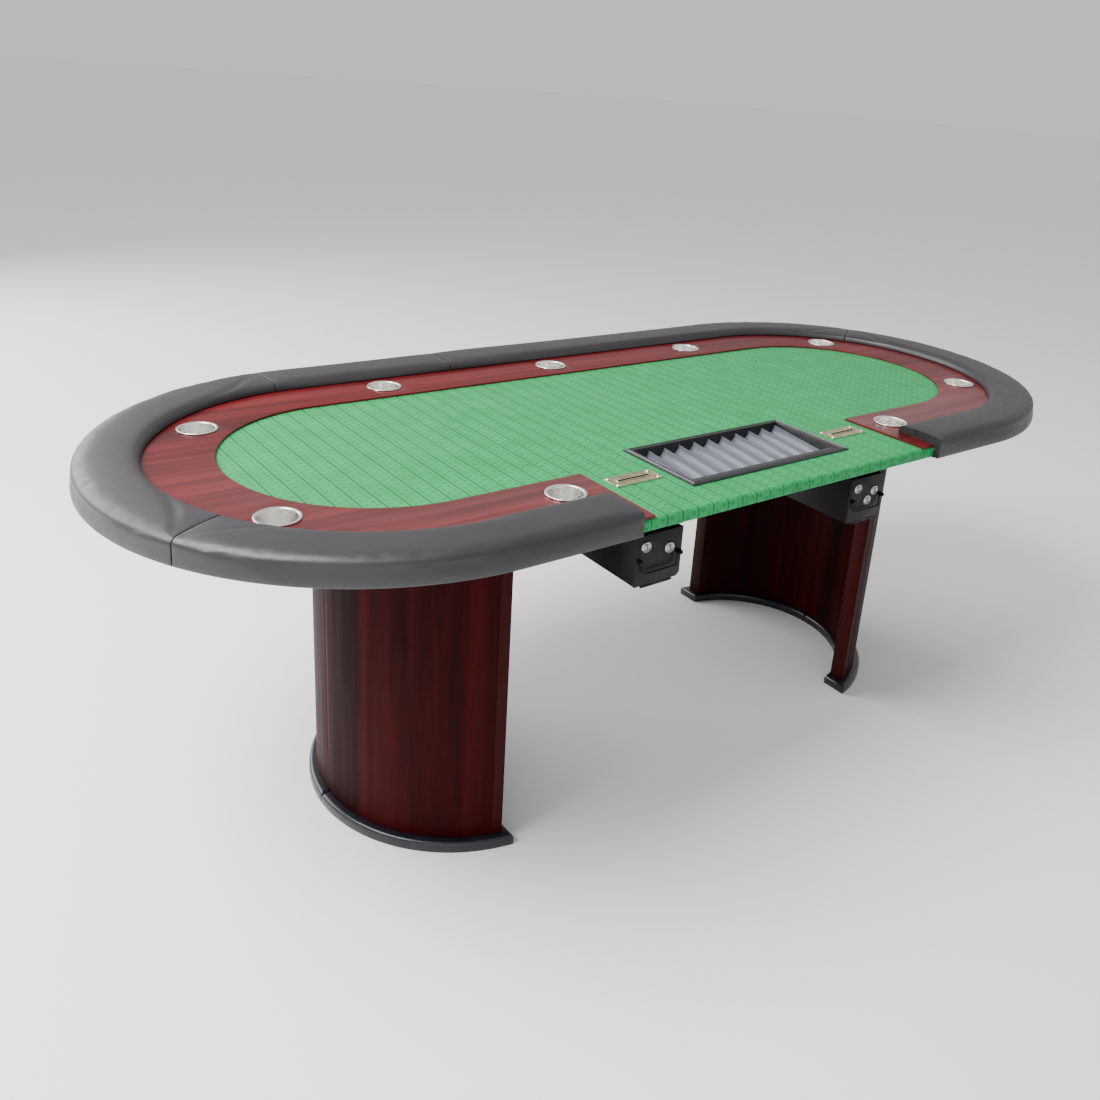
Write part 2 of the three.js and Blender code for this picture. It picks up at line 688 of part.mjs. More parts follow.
function makeDropBoxes() {
  for (const [name, side] of sides) {
    const station = new THREE.Group();
    station.position.set(side * plateX, boxFrontY, 0);
    table.add(station);
    const locks = { ...lockSpots };
    if (side > 0) locks.audit_lock = auditLockSpot;
    makeBracket(name, station);
    makeBoxBody(name, station);
    makeDoor(name, Object.values(locks), station);
    for (const [lock, [x, drop]] of Object.entries(locks)) makeLock(`${lock}_${name}`, x, drop, station);
    makeHandle(name, station);
  }
}

// ---- legs: each a half-moon standing in two halves, open towards the table's middle ---------------

// the plan of a curved band between two radii, from the seam at y = seam to the line x = endX
function legBand(sx, sy, outer, inner, seam, endX, startX = Infinity) {
  const points = [];
  for (const [radius, way] of [[outer, 1], [inner, -1]]) {
    const first = startX < Infinity ? Math.acos((startX - legCentreX) / radius) : Math.asin(seam / radius);
    const last = Math.acos((endX - legCentreX) / radius);
    const count = startX < Infinity ? 2 : 12;
    const row = [];
    for (let i = 0; i <= count; i++) {
      const angle = first + ((last - first) * i) / count;
      row.push([sx * (legCentreX + radius * Math.cos(angle)), sy * radius * Math.sin(angle)]);
    }
    points.push(...(way > 0 ? row : row.reverse()));
  }
  return outline(points);
}

function makeLegs() {
  const top = boardBottom - gap;
  const foot = plinthHeight + gap;
  const inner = legRadius - legThickness;
  const postX = legEndX + legPostWidth;
  for (const [name, sx] of sides) {
    for (const [end, sy] of [['front', -1], ['back', 1]]) {
      const panel = legBand(sx, sy, legRadius, inner, legSeam / 2, postX + gap);
      add(`leg_panel_${name}_${end}`, slab(panel, foot, top), 'mahogany');
      const post = legBand(sx, sy, legRadius, inner, 0, legEndX, postX);
      add(`leg_post_${name}_${end}`, slab(post, foot, top), 'mahogany');

      const plinth = legBand(
        sx, sy, legRadius + plinthReach - plinthRound, inner - plinthReach / 2 + plinthRound,
        legSeam / 2 + plinthRound, legEndX - plinthReach + plinthRound);
      const rounded = new THREE.ExtrudeGeometry(plinth, {
        depth: plinthHeight, bevelThickness: plinthRound, bevelSize: plinthRound, bevelSegments: 2,
      }).translate(0, 0, -plinthRound);
      const floor = block(-tableLength, tableLength, -tableWidth, tableWidth, -2 * plinthRound, 0);
      add(`leg_plinth_${name}_${end}`, cut(rounded, floor), 'plinth');
    }

    // the half-moon plate inside the leg's top, screwed up into the board
    const radius = inner - padGap;
    const reach = Math.acos((postX - legCentreX) / radius);
    const plate = new THREE.Shape();
    plate.absarc(0, 0, radius, -reach, reach, false);
    const geometry = slab(plate, top - legPlateThickness, top);
    if (sx < 0) geometry.rotateZ(Math.PI);
    add(`leg_mount_plate_${name}`, geometry.translate(sx * legCentreX, 0, 0), 'plywood');
  }
}

makeTabletop();
makeRail();
makeCups();
makeTray();
makeSlotPlates();
makeDropBoxes();
makeLegs();

export default table;
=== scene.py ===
import math

import bpy
from mathutils import Matrix, Vector, noise


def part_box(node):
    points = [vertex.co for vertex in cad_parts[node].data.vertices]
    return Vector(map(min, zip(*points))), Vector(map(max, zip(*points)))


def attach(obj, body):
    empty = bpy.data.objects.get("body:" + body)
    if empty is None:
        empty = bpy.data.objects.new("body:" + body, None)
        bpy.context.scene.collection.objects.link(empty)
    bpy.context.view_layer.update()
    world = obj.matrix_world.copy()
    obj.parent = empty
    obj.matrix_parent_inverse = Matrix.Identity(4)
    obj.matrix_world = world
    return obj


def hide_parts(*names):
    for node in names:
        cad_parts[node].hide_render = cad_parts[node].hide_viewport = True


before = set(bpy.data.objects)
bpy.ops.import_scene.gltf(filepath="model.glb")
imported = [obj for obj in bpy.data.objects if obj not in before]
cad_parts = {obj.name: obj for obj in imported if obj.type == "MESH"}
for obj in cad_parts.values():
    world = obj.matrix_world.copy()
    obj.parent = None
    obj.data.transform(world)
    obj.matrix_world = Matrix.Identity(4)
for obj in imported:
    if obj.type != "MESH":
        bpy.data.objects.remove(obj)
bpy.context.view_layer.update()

# The table's own sizes, in metres, taken from the frame where it states them.

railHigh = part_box("armrest_3")[1]
trackLow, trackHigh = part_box("racetrack")
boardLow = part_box("table_board")[0]

table = {
    "radius": railHigh.y,                      # the rounded ends, to the rail's outer edge
    "endX": 0.675,                             # centre of the right-hand end
    "dealerHalf": 0.431,                       # half the rail's opening
    "clothTop": 0.795,
    "boardBottom": boardLow.z,
    "smooth": 64,                              # steps round each end
    "cups": 9,
}


def say(text):
    print("poker table:", text)


# Small helpers for working as by hand.

def clearSelection():
    if bpy.context.object and bpy.context.object.mode != "OBJECT":
        bpy.ops.object.mode_set(mode="OBJECT")
    bpy.ops.object.select_all(action="DESELECT")


def pick(obj):
    clearSelection()
    obj.select_set(True)
    bpy.context.view_layer.objects.active = obj


def named(name):
    obj = bpy.context.object
    obj.name = name
    obj.data.name = name
    return obj


def settle(obj):
    pick(obj)
    bpy.ops.object.transform_apply(location=True, rotation=True, scale=True)


def edit(obj, select="SELECT"):
    pick(obj)
    bpy.ops.object.mode_set(mode="EDIT")
    bpy.ops.mesh.select_mode(type="VERT")
    bpy.ops.mesh.select_all(action=select)


def done():
    bpy.ops.object.mode_set(mode="OBJECT")


def unselect(obj):
    done()
    for items in (obj.data.polygons, obj.data.edges, obj.data.vertices):
        for item in items:
            item.select = False


def chooseFaces(obj, test):
    unselect(obj)
    for polygon in obj.data.polygons:
        polygon.select = test(polygon)
    bpy.ops.object.mode_set(mode="EDIT")
    bpy.ops.mesh.select_mode(type="FACE")


def chooseEdges(obj, test):
    unselect(obj)
    spots = [vertex.co for vertex in obj.data.vertices]
    for edge in obj.data.edges:
        edge.select = test(spots[edge.vertices[0]], spots[edge.vertices[1]])
    bpy.ops.object.mode_set(mode="EDIT")
    bpy.ops.mesh.select_mode(type="EDGE")


def pull(move):
    bpy.ops.mesh.extrude_region_move(TRANSFORM_OT_translate={"value": move})


def facesOut():
    bpy.ops.mesh.select_all(action="SELECT")
    bpy.ops.mesh.normals_make_consistent(inside=False)
    done()


def applyModifier(obj, kind, **values):
    pick(obj)
    modifier = obj.modifiers.new(kind.lower(), kind)
    for key, value in values.items():
        setattr(modifier, key, value)
    bpy.ops.object.modifier_apply(modifier=modifier.name)


def easeEdges(obj, width, angle=0.6):
    # rounds the edges that turn by more than the angle, in radians
    applyModifier(obj, "BEVEL", width=width, segments=2, limit_method="ANGLE", angle_limit=angle)


def smooth(obj, degrees=35):
    pick(obj)
    bpy.ops.object.shade_smooth_by_angle(angle=math.radians(degrees))


def join(parts, name):
    clearSelection()
    for part in parts:
        part.select_set(True)
    bpy.context.view_layer.objects.active = parts[0]
    if len(parts) > 1:
        bpy.ops.object.join()
    return named(name)


def drop(obj):
    bpy.data.objects.remove(obj, do_unlink=True)


def drawLine(name, points, closed=False):
    # a line of edges, drawn by pulling a vertex out from point to point
    clearSelection()
    bpy.ops.mesh.primitive_plane_add(size=0.001, location=points[0])
    obj = named(name)
    settle(obj)
    edit(obj)
    bpy.ops.mesh.merge(type="CENTER")
    spots = [Vector(point) for point in points]
    for here, there in zip(spots, spots[1:]):
        pull(there - here)
    if closed:
        pull(spots[0] - spots[-1])
        bpy.ops.mesh.select_all(action="SELECT")
        bpy.ops.mesh.remove_doubles(threshold=1e-6)
    done()
    return obj


def solidFrom(name, points, move):
    # a closed outline, filled and pulled into a solid
    obj = drawLine(name, points, closed=True)
    edit(obj)
    bpy.ops.mesh.edge_face_add()
    pull(move)
    facesOut()
    return obj


def rounded(points, radius, steps=5):
    # a closed outline in two directions whose corners are rounded
    result = []
    count = len(points)
    for index, point in enumerate(points):
        here = Vector(point)
        before = (Vector(points[index - 1]) - here).normalized()
        after = (Vector(points[(index + 1) % count]) - here).normalized()
        half = before.angle(after) / 2
        reach = radius / math.tan(half)
        centre = here + (before + after).normalized() * (radius / math.sin(half))
        first = here + before * reach - centre
        last = here + after * reach - centre
        for step in range(steps + 1):
            result.append(centre + first.slerp(last, step / steps).normalized() * radius)
    return result


def spinAll(obj, axis, steps):
    edit(obj)
    bpy.ops.mesh.spin(steps=steps, angle=-math.radians(360), center=(0, 0, 0), axis=axis)
    bpy.ops.mesh.select_all(action="SELECT")
    bpy.ops.mesh.remove_doubles(threshold=1e-6)
    facesOut()


def turned(name, profile, place, steps=48, lying=False):
    # a turned piece: its profile is drawn as (radius, height) and spun; lying turns its axis towards -Y
    if lying:
        points = [(radius, -height, 0) for radius, height in profile]
        axis = (0, 1, 0)
    else:
        points = [(radius, 0, height) for radius, height in profile]
        axis = (0, 0, 1)
    obj = drawLine(name, points)
    spinAll(obj, axis, steps)
    obj.data.transform(Matrix.Translation(Vector(place)))
    return obj


def block(name, low, high, bevel=0.0, segments=2):
    # a squared-up piece with its edges eased
    low, high = Vector(low), Vector(high)
    clearSelection()
    bpy.ops.mesh.primitive_cube_add(size=1, location=(low + high) / 2)
    obj = named(name)
    obj.scale = high - low
    settle(obj)
    if bevel > 0:
        applyModifier(obj, "BEVEL", width=bevel, segments=segments, limit_method="ANGLE")
    return obj


def plateOf(name, outline, low, high, bevel=0.0):
    # a flat plate: its outline is drawn as (x, y) at low and pulled up to high
    obj = solidFrom(name, [(x, y, low) for x, y in outline], (0, 0, high - low))
    if bevel > 0:
        easeEdges(obj, bevel)
    return obj


def cutWith(obj, tools, keep="DIFFERENCE"):
    # cuts the tools away; keep can be INTERSECT, or UNION to add them instead
    for tool in tools:
        applyModifier(obj, "BOOLEAN", operation=keep, object=tool, solver="EXACT")
        drop(tool)


def roundTool(place, radius, low, high, sides=64, lying=False):
    clearSelection()
    bpy.ops.mesh.primitive_cylinder_add(vertices=sides, radius=radius, depth=high - low)
    tool = named("tool")
    if lying:
        tool.data.transform(Matrix.Rotation(math.pi / 2, 4, "X"))
        tool.data.transform(Matrix.Translation(Vector((place[0], (low + high) / 2, place[2]))))
    else:
        tool.data.transform(Matrix.Translation(Vector((place[0], place[1], (low + high) / 2))))
    return tool


# The rail's path: s runs along its outer edge from the dealer's right hand round to the left hand.

straight = table["endX"] - table["dealerHalf"]
roundEnd = math.pi * table["radius"]
pathEnds = [straight, straight + roundEnd, straight + roundEnd + 2 * table["endX"],
            straight + 2 * roundEnd + 2 * table["endX"]]
pathLength = 2 * straight + 2 * roundEnd + 2 * table["endX"]


def along(s, inwards, z):
    radius, endX = table["radius"], table["endX"]
    if s <= pathEnds[0]:
        return Vector((table["dealerHalf"] + s, inwards - radius, z))
    if s <= pathEnds[1]:
        angle = (s - pathEnds[0]) / radius - math.pi / 2
        return Vector((endX + (radius - inwards) * math.cos(angle), (radius - inwards) * math.sin(angle), z))
    if s <= pathEnds[2]:
        return Vector((endX - (s - pathEnds[1]), radius - inwards, z))
    if s <= pathEnds[3]:
        angle = (s - pathEnds[2]) / radius + math.pi / 2
        return Vector((-endX + (radius - inwards) * math.cos(angle), (radius - inwards) * math.sin(angle), z))
    return Vector((-endX + (s - pathEnds[3]), inwards - radius, z))


def sweep(name, section, start, end, step, fine=()):
    # draws the section, points (inwards, z), at start and pulls it along the rail's path to end;
    # fine holds short first steps, which are repeated backwards before the end
    obj = drawLine(name, [along(start, inwards, z) for inwards, z in section], closed=True)
    edit(obj)
    stops = [start]
    for length in fine:
        stops.append(stops[-1] + length)
    tail = end - sum(fine)
    for border in pathEnds:
        if stops[-1] + 1e-4 < border < tail - 1e-4:
            stops.append(border)
    stops.append(tail)
    for length in reversed(fine):
        stops.append(stops[-1] + length)
    for here, there in zip(stops, stops[1:]):
        middle = (here + there) / 2
        count = max(1, round((there - here) / step))
        if pathEnds[0] < middle < pathEnds[1] or pathEnds[2] < middle < pathEnds[3]:
            centre = (table["endX"] if middle < pathEnds[1] else -table["endX"], 0, 0)
            turn = (there - here) / table["radius"]
            bpy.ops.mesh.spin(steps=count, angle=-turn, center=centre, axis=(0, 0, 1))
        else:
            move = (along(there, 0, 0) - along(here, 0, 0)) / count
            for _ in range(count):
                pull(move)
    bpy.ops.mesh.select_all(action="SELECT")
    bpy.ops.mesh.remove_doubles(threshold=1e-6)
    bpy.ops.mesh.select_all(action="DESELECT")
    bpy.ops.mesh.select_non_manifold()
    bpy.ops.mesh.fill_holes(sides=0)
    facesOut()
    return obj


# Camera, floor and light.

cameraSet = {
    "azimuth": -39.58, "elevation": 19.68, "roll": 4.539,
    "place": (-1.5289, -1.7700, 1.5211),
    "lens": 33.606, "shiftX": -0.0584, "shiftY": -0.0927,
}


def makeCamera():
    azimuth = math.radians(cameraSet["azimuth"])
    elevation = math.radians(cameraSet["elevation"])
    roll = math.radians(cameraSet["roll"])
    back = Vector((math.sin(azimuth) * math.cos(elevation), -math.cos(azimuth) * math.cos(elevation),
                   math.sin(elevation)))
    right = (-back).cross(Vector((0, 0, 1))).normalized()
    up = right.cross(-back)
    across = right * math.cos(roll) + up * math.sin(roll)
    upright = up * math.cos(roll) - right * math.sin(roll)
    data = bpy.data.cameras.new("camera")
    data.lens = cameraSet["lens"]
    data.sensor_width = 36
    data.shift_x = cameraSet["shiftX"]
    data.shift_y = cameraSet["shiftY"]
    data.clip_end = 100
    camera = bpy.data.objects.new("camera", data)
    bpy.context.scene.collection.objects.link(camera)
    turn = Matrix((across, upright, back)).transposed().to_4x4()
    camera.matrix_world = Matrix.Translation(Vector(cameraSet["place"])) @ turn
    bpy.context.scene.camera = camera


lightSet = {
    "world": 0.74,
    "window": {"place": (-3.0, 4.6, 2.6), "aim": (-0.9, 0.1, 0.8), "size": (5.0, 2.6), "power": 330},
    "top": {"place": (-2.9, 0.2, 3.8), "aim": (-0.5, 0, 0.7), "size": (2.6, 2.6), "power": 390},
    "front": {"place": (-3.4, -4.2, 1.6), "aim": (0, 0, 0.4), "size": (2.5, 2.0), "power": 25},
    "floorSize": 160, "floorShade": 0.93, "floorRough": 0.9,
}


def makeLight(kind):
    values = lightSet[kind]
    data = bpy.data.lights.new(kind, "AREA")
    data.shape = "RECTANGLE"
    data.size, data.size_y = values["size"]
    data.energy = values["power"]
    light = bpy.data.objects.new(kind, data)
    bpy.context.scene.collection.objects.link(light)
    place, aim = Vector(values["place"]), Vector(values["aim"])
    light.location = place
    light.rotation_euler = (aim - place).to_track_quat("-Z", "Y").to_euler()


def makeStudio():
    clearSelection()
    bpy.ops.mesh.primitive_plane_add(size=lightSet["floorSize"], location=(0, 0, 0))
    floor = named("floor")
    paint = bpy.data.materials.new("floor_paint")
    paint.use_nodes = True
    shader = paint.node_tree.nodes["Principled BSDF"]
    shader.inputs["Base Color"].default_value = (*[lightSet["floorShade"]] * 3, 1)
    shader.inputs["Roughness"].default_value = lightSet["floorRough"]
    floor.data.materials.append(paint)
    world = bpy.data.worlds.new("studio")
    world.use_nodes = True
    world.node_tree.nodes["Background"].inputs[0].default_value = (1, 1, 1, 1)
    world.node_tree.nodes["Background"].inputs[1].default_value = lightSet["world"]
    bpy.context.scene.world = world
    for kind in ("window", "top", "front"):
        makeLight(kind)


# Materials.

class Paint:
    # a material and short ways to add nodes to it

    def __init__(self, name, colour, roughness=0.5, metallic=0.0, **values):
        self.material = bpy.data.materials.new(name)
        self.material.use_nodes = True
        self.nodes = self.material.node_tree.nodes
        self.links = self.material.node_tree.links
        self.shader = self.nodes["Principled BSDF"]
        self.shader.inputs["Base Color"].default_value = (*colour, 1)
        self.shader.inputs["Roughness"].default_value = roughness
        self.shader.inputs["Metallic"].default_value = metallic
        for key, value in values.items():
            self.shader.inputs[key].default_value = value
        self.place = None

    def add(self, kind, inputs=(), **settings):
        node = self.nodes.new("ShaderNode" + kind)
        for key, value in settings.items():
            setattr(node, key, value)
        for key, value in dict(inputs).items():
            if hasattr(value, "is_output"):
                self.links.new(value, node.inputs[key])
            else:
                node.inputs[key].default_value = value
        return node

    def where(self, scale=(1, 1, 1), turn=(0, 0, 0), uv=False):
        if self.place is None:
            self.place = self.add("TexCoord")
        source = self.place.outputs["UV" if uv else "Object"]
        return self.add("Mapping", {"Vector": source, "Scale": scale, "Rotation": turn}).outputs[0]

    def noise(self, spot, scale, detail=4.0, rough=0.55):
        node = self.add("TexNoise", {"Vector": spot, "Scale": scale, "Detail": detail, "Roughness": rough})
        return node.outputs["Fac"]

    def cells(self, spot, scale):
        return self.add("TexVoronoi", {"Vector": spot, "Scale": scale}).outputs["Distance"]

    def ramp(self, factor, stops):
        node = self.add("ValToRGB", {"Fac": factor})
        band = node.color_ramp
        while len(band.elements) < len(stops):
            band.elements.new(0.5)
        for element, (spot, colour) in zip(band.elements, stops):
            element.position = spot
            element.color = (*colour, 1) if hasattr(colour, "__len__") else (colour, colour, colour, 1)
        return node.outputs["Color"]

    def math(self, operation, *values):
        return self.add("Math", dict(enumerate(values)), operation=operation).outputs[0]

    def mix(self, factor, first, second, blend="MIX"):
        node = self.add("Mix", {0: factor, 6: first, 7: second}, data_type="RGBA", blend_type=blend)
        return node.outputs[2]

    def range(self, value, low, high, newLow, newHigh):
        node = self.add("MapRange", {0: value, 1: low, 2: high, 3: newLow, 4: newHigh})
        return node.outputs[0]

    def set(self, key, value):
        self.links.new(value, self.shader.inputs[key])

    def bump(self, height, strength, distance):
        node = self.add("Bump", {"Height": height, "Strength": strength, "Distance": distance})
        before = self.shader.inputs["Normal"]
        if before.is_linked:
            self.links.new(before.links[0].from_socket, node.inputs["Normal"])
        self.links.new(node.outputs[0], before)


def leatherettePaint():
    paint = Paint("leatherette", (0.014, 0.0125, 0.0145), 0.46, **{"Specular IOR Level": 0.62})
    spot = paint.where()
    wear = paint.noise(spot, 9, 3)
    paint.set("Base Color", paint.ramp(wear, [(0.3, (0.0125, 0.0110, 0.0128)),
                                              (0.72, (0.0165, 0.0148, 0.0170))]))
    paint.set("Roughness", paint.range(paint.noise(spot, 60, 4), 0.3, 0.7, 0.42, 0.50))
    paint.bump(paint.cells(spot, 620), 0.35, 0.00025)
    paint.bump(paint.noise(spot, 190, 3), 0.25, 0.0006)
    return paint.material


def woodPaint(name, dark, middle, light, along, roughness, coat, size=1.0, gloss=0.18):
    # lacquered veneer; along is 0, 1 or 2 for grain running along x, y or z
    paint = Paint(name, middle, roughness, **{"Coat Weight": coat, "Coat Roughness": 0.12,
                                              "Specular IOR Level": gloss})
    stretch = [26 * size, 26 * size, 26 * size]
    stretch[along] = 1.1 * size
    spot = paint.where(tuple(stretch))
    broad = paint.where(tuple(value * 0.32 for value in stretch))
    figure = paint.add("TexNoise", {"Vector": broad, "Scale": 1.0, "Detail": 3.0,
                                    "Distortion": 0.8}).outputs["Fac"]
    grain = paint.add("TexNoise", {"Vector": spot, "Scale": 1.6, "Detail": 8.0, "Roughness": 0.62,
                                   "Distortion": 0.5}).outputs["Fac"]
    fine = paint.where(tuple(value * 9 for value in stretch))
    pores = paint.noise(fine, 1.3, 2)
    colour = paint.ramp(figure, [(0.30, dark), (0.50, middle), (0.70, light)])
    streaks = paint.ramp(grain, [(0.34, (0.52, 0.48, 0.48)), (0.56, (1.0, 1.0, 1.0)),
                                 (0.74, (1.22, 1.1, 1.06))])
    colour = paint.mix(0.85, colour, streaks, "MULTIPLY")
    dots = paint.ramp(pores, [(0.36, (0.55, 0.5, 0.5)), (0.47, (1, 1, 1))])
    colour = paint.mix(0.5, colour, dots, "MULTIPLY")
    paint.set("Base Color", colour)
    paint.set("Roughness", paint.range(grain, 0.3, 0.7, roughness * 1.15, roughness * 0.85))
    paint.bump(pores, 0.12, 0.0004)
    return paint.material


clothPattern = {
    "line": 0.038, "row": 0.0185, "mark": 0.0125,        # between lines, between marks, size of a mark
    "base": (0.0085, 0.235, 0.066), "bright": (0.0120, 0.295, 0.086),
    "markShade": (0.007, 0.155, 0.042), "lineShade": (0.004, 0.090, 0.022),
}


def clothPaint():
    # woven tone on tone: lines from the dealer's edge across the table, card-suit marks between them
    sheen = {"Specular IOR Level": 0.22, "Sheen Weight": 0.05, "Sheen Tint": (0.2, 1.0, 0.45, 1)}
    paint = Paint("speed_cloth", clothPattern["base"], 0.6, **sheen)
    m = paint.math
    split = paint.add("SeparateXYZ", {0: paint.where(uv=True)})
    x, y = split.outputs[0], split.outputs[1]
    column = m("DIVIDE", x, clothPattern["line"])
    toLine = m("ABSOLUTE", m("SUBTRACT", m("FRACT", column), 0.5))
    line = paint.range(toLine, 0.445, 0.468, 0, 1)
    columnIndex = m("FLOOR", column)

    def marks(halfColumn):
        # one column of marks: u and v run from -1 to 1 over a mark
        u = m("SUBTRACT", m("FRACT", column), 0.28 if halfColumn == 0 else 0.72)
        u = m("DIVIDE", m("MULTIPLY", u, clothPattern["line"]), clothPattern["mark"] / 2)
        shifted = m("ADD", m("DIVIDE", y, clothPattern["row"]), m("MULTIPLY", columnIndex, 0.5))
        shifted = m("ADD", shifted, 0.5 * halfColumn)
        v = m("SUBTRACT", m("FRACT", shifted), 0.5)
        v = m("DIVIDE", m("MULTIPLY", v, clothPattern["row"]), clothPattern["mark"] / 2)
        rowIndex = m("ADD", m("FLOOR", shifted), m("MULTIPLY", columnIndex, 3.0))
        kind = m("MODULO", m("ADD", m("ADD", rowIndex, 400.0), 2.0 * halfColumn), 4.0)
        side = m("ABSOLUTE", u)

        def disc(x0, y0, radius):
            dx = m("SUBTRACT", side, x0)
            dy = m("SUBTRACT", v, y0)
            return m("SUBTRACT", m("SQRT", m("ADD", m("MULTIPLY", dx, dx), m("MULTIPLY", dy, dy))), radius)

        def wedge(top, width, sign):
            # below a line from the side towards the middle: negative inside
            slope = m("MULTIPLY", m("ADD", m("MULTIPLY", v, sign), top), width)
            return m("MAXIMUM", m("SUBTRACT", side, slope), m("SUBTRACT", m("MULTIPLY", v, sign), 0.18))

        stem = m("MAXIMUM", m("SUBTRACT", side, 0.12), m("SUBTRACT", m("ABSOLUTE", m("ADD", v, 0.55)), 0.4))
        diamond = m("SUBTRACT", m("ADD", m("MULTIPLY", side, 1.25), m("ABSOLUTE", v)), 0.9)
        heart = m("MINIMUM", disc(0.38, 0.32, 0.44), wedge(0.88, 0.80, 1.0))
        spade = m("MINIMUM", m("MINIMUM", disc(0.38, -0.18, 0.42), wedge(0.95, 0.75, -1.0)), stem)
        club = m("MINIMUM", m("MINIMUM", disc(0.42, -0.12, 0.36), disc(0.0, 0.48, 0.38)), stem)
        shapes = [heart, club, diamond, spade]
        total = None
        for index, shape in enumerate(shapes):
            inside = paint.range(shape, -0.09, 0.09, 1, 0)
            chosen = m("COMPARE", kind, float(index), 0.5)
            part = m("MULTIPLY", inside, chosen)
            total = part if total is None else m("ADD", total, part)
        return total

    mark = m("ADD", marks(0), marks(1))

    def threadsAt(turn):
        return paint.add("TexWave", {"Vector": paint.where(uv=True, turn=(0, 0, turn)), "Scale": 520.0,
                                     "Distortion": 0.6, "Detail": 1.0}, wave_type="BANDS").outputs["Fac"]

    threads = m("MULTIPLY", threadsAt(0.785), threadsAt(-0.785))
    soft = paint.noise(paint.where(), 14, 3)
    base = paint.ramp(soft, [(0.3, clothPattern["base"]), (0.7, clothPattern["bright"])])
    colour = paint.mix(m("MULTIPLY", mark, 0.62), base, (*clothPattern["markShade"], 1))
    colour = paint.mix(m("MULTIPLY", line, 0.95), colour, (*clothPattern["lineShade"], 1))
    colour = paint.mix(m("MULTIPLY", threads, 0.22), colour, (*clothPattern["bright"], 1))
    paint.set("Base Color", colour)
    paint.set("Roughness", paint.range(mark, 0, 1, 0.50, 0.68))
    height = m("SUBTRACT", m("MULTIPLY", threads, 0.25), m("ADD", m("MULTIPLY", mark, 0.8), line))
    paint.bump(height, 0.5, 0.0005)
    return paint.material


def steelPaint():
    paint = Paint("cup_steel", (0.85, 0.84, 0.80), 0.24, 1.0)
    rings = paint.noise(paint.where((9, 9, 900)), 1.0, 3)
    paint.set("Base Color", paint.ramp(rings, [(0.3, (0.76, 0.75, 0.71)), (0.7, (0.92, 0.91, 0.88))]))
    paint.set("Roughness", paint.range(rings, 0.3, 0.7, 0.22, 0.38))
    paint.bump(rings, 0.12, 0.0002)
    return paint.material


def chromePaint(name, shine):
    paint = Paint(name, (shine, shine, shine), 0.10, 1.0)
    smear = paint.noise(paint.where(), 140, 4)
    paint.set("Roughness", paint.range(smear, 0.3, 0.7, 0.07, 0.20))
    paint.bump(paint.noise(paint.where(), 500, 2), 0.04, 0.0002)
    return paint.material


def brassPaint():
    paint = Paint("slot_brass", (0.56, 0.49, 0.29), 0.16, 1.0)
    brushed = paint.noise(paint.where((30, 900, 900)), 1.0, 3)
    tarnish = paint.noise(paint.where(), 55, 4)
    paint.set("Base Color", paint.ramp(tarnish, [(0.32, (0.40, 0.36, 0.20)), (0.66, (0.66, 0.60, 0.38))]))
    paint.set("Roughness", paint.range(brushed, 0.3, 0.7, 0.12, 0.26))
    paint.bump(brushed, 0.08, 0.0002)
    return paint.material


def powderPaint():
    paint = Paint("powder_coat", (0.003, 0.0026, 0.0026), 0.48, **{"Specular IOR Level": 0.2})
    spot = paint.where()
    paint.set("Base Color", paint.ramp(paint.noise(spot, 30, 4), [(0.3, (0.0022, 0.0018, 0.0018)),
                                                                 (0.7, (0.0055, 0.0043, 0.0042))]))
    paint.set("Roughness", paint.range(paint.noise(spot, 90, 3), 0.3, 0.7, 0.34, 0.52))
    paint.bump(paint.noise(spot, 1100, 2), 0.35, 0.0002)
    return paint.material


def plasticPaint(name, colour, roughness):
    paint = Paint(name, colour, roughness)
    spot = paint.where()
    lighter = tuple(value * 1.7 for value in colour)
    paint.set("Base Color", paint.ramp(paint.noise(spot, 24, 3), [(0.35, colour), (0.75, lighter)]))
    paint.set("Roughness", paint.range(paint.noise(spot, 80, 3), 0.3, 0.7, roughness * 0.85, roughness * 1.2))
    paint.bump(paint.noise(spot, 700, 2), 0.15, 0.0002)
    return paint.material


def groovePaint():
    paint = Paint("tray_groove", (0.11, 0.12, 0.145), 0.42, 0.15)
    rub = paint.noise(paint.where((260, 6, 260)), 1.0, 4)
    paint.set("Base Color", paint.ramp(rub, [(0.3, (0.095, 0.105, 0.128)), (0.7, (0.135, 0.148, 0.176))]))
    paint.set("Roughness", paint.range(rub, 0.3, 0.7, 0.28, 0.44))
    paint.bump(rub, 0.08, 0.0002)
    return paint.material


def foamPaint():
    paint = Paint("foam", (0.05, 0.05, 0.055), 0.95)
    paint.bump(paint.cells(paint.where(), 900), 0.6, 0.0005)
    return paint.material


